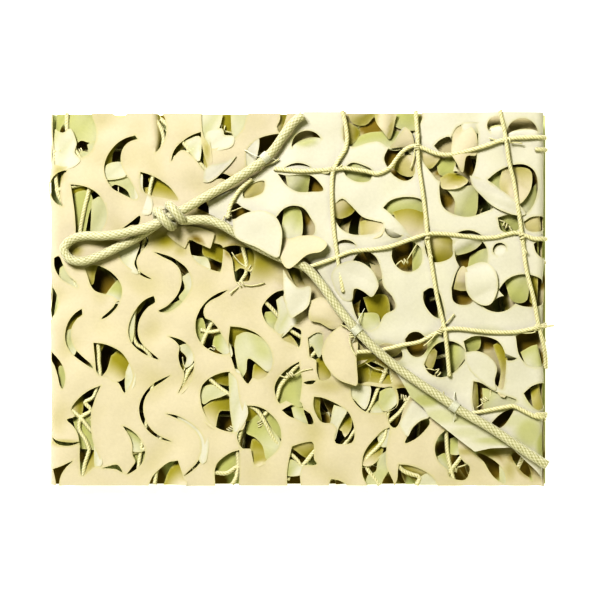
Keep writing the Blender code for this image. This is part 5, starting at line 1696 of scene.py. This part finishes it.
# Twine ties: the layer they lie on, their place in pixels, and the rise of their knot in mm
Tie = namedtuple("Tie", "layer x y rise")
TIES_UNDER_MIDDLE = (
    (240, 284, 2.0), (250, 268, -2.0), (214, 348, -6.0), (118, 178, -6.0), (78, 150, -5.0),
    (160, 128, -5.0), (222, 126, -4.0), (290, 375, 0.0), (386, 372, -3.0), (404, 398, -5.0),
    (370, 465, -6.0), (230, 430, -6.0), (260, 425, -5.0), (90, 420, -6.0), (186, 372, -5.0),
    (455, 470, -4.0),
)
TIES_ON_CORNER = (
    (229, 216, 2.5), (258, 168, 3.0), (331, 170, 3.4), (417, 147, 3.4), (506, 141, 3.4), (427, 236, 3.4),
    (521, 236, 3.4), (352, 334, 5.0), (440, 331, 3.4), (535, 328, 3.4), (484, 400, -3.0), (438, 372, -3.0),
    (405, 262, -3.0), (505, 226, -2.0),
)
TIES = [Tie("middle", *row) for row in TIES_UNDER_MIDDLE] + [Tie("flap", *row) for row in TIES_ON_CORNER]
TIE_STEPS = 9  # points to a turn
TIE_WIDTH = 0.0060
TIE_REACH = 0.0022
TIE_UNEVEN = 0.0006
TIE_TWINE = TWINE * 1.5
TIE_LAY = 0.004
TIE_GROOVE = 0.25
# The cut ends of a tie: how long they are, how far they turn, rise and bow, and where their points lie
END_LENGTH = (0.008, 0.018)
END_TURN = 0.7
END_RISE = (-0.25, 0.15)
END_BOW = 0.4
END_SHARES = (0.0, 0.3, 0.65, 1.0)
END_RING = 0.0016


def net_on_layer(layer, pixels, side):
    """A net line through places in pixels, on the upper side of a layer (1) or its lower side (-1)."""
    flat = eased([Vector((*from_pixel(*pixel), 0)) for pixel in pixels], NET_STEP)
    return [on_layer(layer, place.x, place.y, CORD_STANDOFF * side) for place in flat]


def wandering(layer, start, end, side, seed, sway=0.004):
    """A net line between two places of a layer, which wanders a little from straight."""
    run = (end - start).length
    steps = max(2, round(run / WANDER_STEP))
    across = Vector((-(end - start).y, (end - start).x)).normalized()
    points = []
    for step in range(steps + 1):
        share = step / steps
        place = start.lerp(end, share)
        place += across * noise.noise((seed * 3.7, share * run * 22, 0.5)) * sway
        points.append(on_layer(layer, place.x, place.y, CORD_STANDOFF * side))
    return points


def tie_up(tubes, tie):
    """A tie of twine: a knot of a few loose turns and its cut ends."""
    chance = random.Random(f"{tie.x} {tie.y}")
    knot = on_layer(tie.layer, *from_pixel(tie.x, tie.y), tie.rise / 1000)
    twine = laid(TIE_TWINE, 2, TIE_LAY, TIE_GROOVE)
    points = []
    turns = chance.randint(2, 3)
    heading = chance.uniform(0, math.tau)
    along = Vector((math.cos(heading), math.sin(heading), 0))
    across = Vector((-along.y, along.x, 0))
    for step in range(turns * TIE_STEPS + 1):
        angle = math.tau * step / TIE_STEPS
        share = step / (turns * TIE_STEPS) - 0.5
        reach = TIE_REACH + TIE_UNEVEN * math.sin(angle * 1.3)
        round_it = across * math.cos(angle) * reach + Vector((0, 0, 1)) * math.sin(angle) * reach * 0.7
        points.append(knot + round_it + along * share * TIE_WIDTH)
    for end, way in ((points[0], -1), (points[-1], 1)):
        length = chance.uniform(*END_LENGTH)
        turn = heading + chance.uniform(-END_TURN, END_TURN)
        aim = Vector((math.cos(turn), math.sin(turn), chance.uniform(*END_RISE))) * way
        bow = Vector((-aim.y, aim.x, 0)) * chance.uniform(-END_BOW, END_BOW)
        tail = [end + (aim * share + bow * share * share) * length for share in END_SHARES]
        tubes.add(eased(tail, END_RING), TWINE_SIDES, twine)
    tubes.add(eased(points, TWINE_RING), TWINE_SIDES, twine)


# How a cord of the net is made: the step of its smooth curve, from ring to ring, its sides and its thickness
CordMake = namedtuple("CordMake", "smoothing ring sides diameter")
ON_CORNER = CordMake(SMOOTHING, 0.0011, 10, CORNER_CORD)
UNDER_SLITS = CordMake(SMOOTHING, 0.0014, 9, CORNER_CORD)
ROUND_FOLD = CordMake(0.003, 0.0014, 9, CORNER_CORD)
ON_BASE = CordMake(0.004, 0.0016, 8, CORD)


def add_cord(tubes, points, make):
    line = evened(eased(points, make.smoothing), make.ring)
    tubes.add(line, make.sides, laid(make.diameter, 3, CORD_LAY, CORD_GROOVE))


def net_cords():
    """The whole net: its lines on the corner, round both folds, under the middle layer and on the base."""
    tubes = Tubes()
    for pixels in NET_ON_CORNER:
        add_cord(tubes, net_on_layer("flap", pixels, 1), ON_CORNER)
    for tie in TIES:
        tie_up(tubes, tie)
    for pixels in NET_UNDER_MIDDLE:
        line = [place - Vector((0, 0, UNDER_DROP)) for place in net_on_layer("middle", pixels, -1)]
        add_cord(tubes, line, UNDER_SLITS)
    half = DEPTH / 2 - CORD
    for row, py in enumerate(NET_ALONG):
        y = from_pixel(0, py)[1]
        right = Vector((RIGHT_CREASE_X, y))
        left = Vector((LEFT_CREASE_X, y))
        points = wandering("flap", Vector((RIGHT_TURN_X - FOLD_LEAD, y)), right, 1, row, 0)
        points += wandering("middle", right, Vector((RIGHT_TURN_X, y)), -1, row, 0)[1:]
        add_cord(tubes, points, ROUND_FOLD)
        points = wandering("middle", Vector((LEFT_TURN_X, y)), left, -1, row, 0)
        points += wandering("base", left, Vector((WIDTH / 2 - CORD, y)), 1, row)[1:]
        add_cord(tubes, points, ON_BASE)
    for column, px in enumerate(NET_ACROSS):
        x = from_pixel(px, 0)[0]
        points = wandering("base", Vector((x, half)), Vector((x + BASE_SLANT, -half)), 1, column + 10)
        add_cord(tubes, points, ON_BASE)
    made = tubes.piece("knotted_net", NET_FIBRE, "net_cord")
    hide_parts("net_cords")
    return made


net_cords()


# ---------------------------------------------------------------- floor and light
def soft_light(name, place, size, power, colour):
    """A square lamp that shines on the middle of the floor."""
    lamp = bpy.data.objects.new(name, bpy.data.lights.new(name, "AREA"))
    bpy.context.scene.collection.objects.link(lamp)
    lamp.data.shape = "SQUARE"
    lamp.data.size = size
    lamp.data.energy = power
    lamp.data.color = colour
    lamp.location = place
    lamp.rotation_euler = (-Vector(place)).to_track_quat("-Z", "Y").to_euler()


WALLS = (2.30, 2.30, 2.20)
CEILING = (0.96, 1.0, 0.42)
SURROUND_STRENGTH = 0.22
FLOOR_SIZE = 6.0


def studio():
    bpy.ops.mesh.primitive_plane_add(size=FLOOR_SIZE, location=(0, 0, 0))
    floor = bpy.context.object
    floor.name = "studio_floor"
    floor.data.materials.append(floor_finish())
    surround = Surround("studio")
    bpy.context.scene.world = surround.world
    heading = surround.node("ShaderNodeTexCoord", output="Generated")
    height = surround.node("ShaderNodeSeparateXYZ", sockets={"Vector": heading}, output="Z")
    surround.feed("Color", surround.mix(height.within(0.08, 0.40), WALLS, CEILING))
    surround.shader.inputs["Strength"].default_value = SURROUND_STRENGTH
    soft_light("key", place=(-1.10, 1.45, 2.20), size=0.90, power=96.0, colour=(1.0, 0.985, 0.95))
    soft_light("fill", place=(1.5, -1.8, 1.40), size=1.60, power=20.0, colour=(1.0, 0.98, 0.62))
    view = bpy.context.scene.view_settings
    view.view_transform = "Standard"
    view.look = "Very High Contrast"


studio()
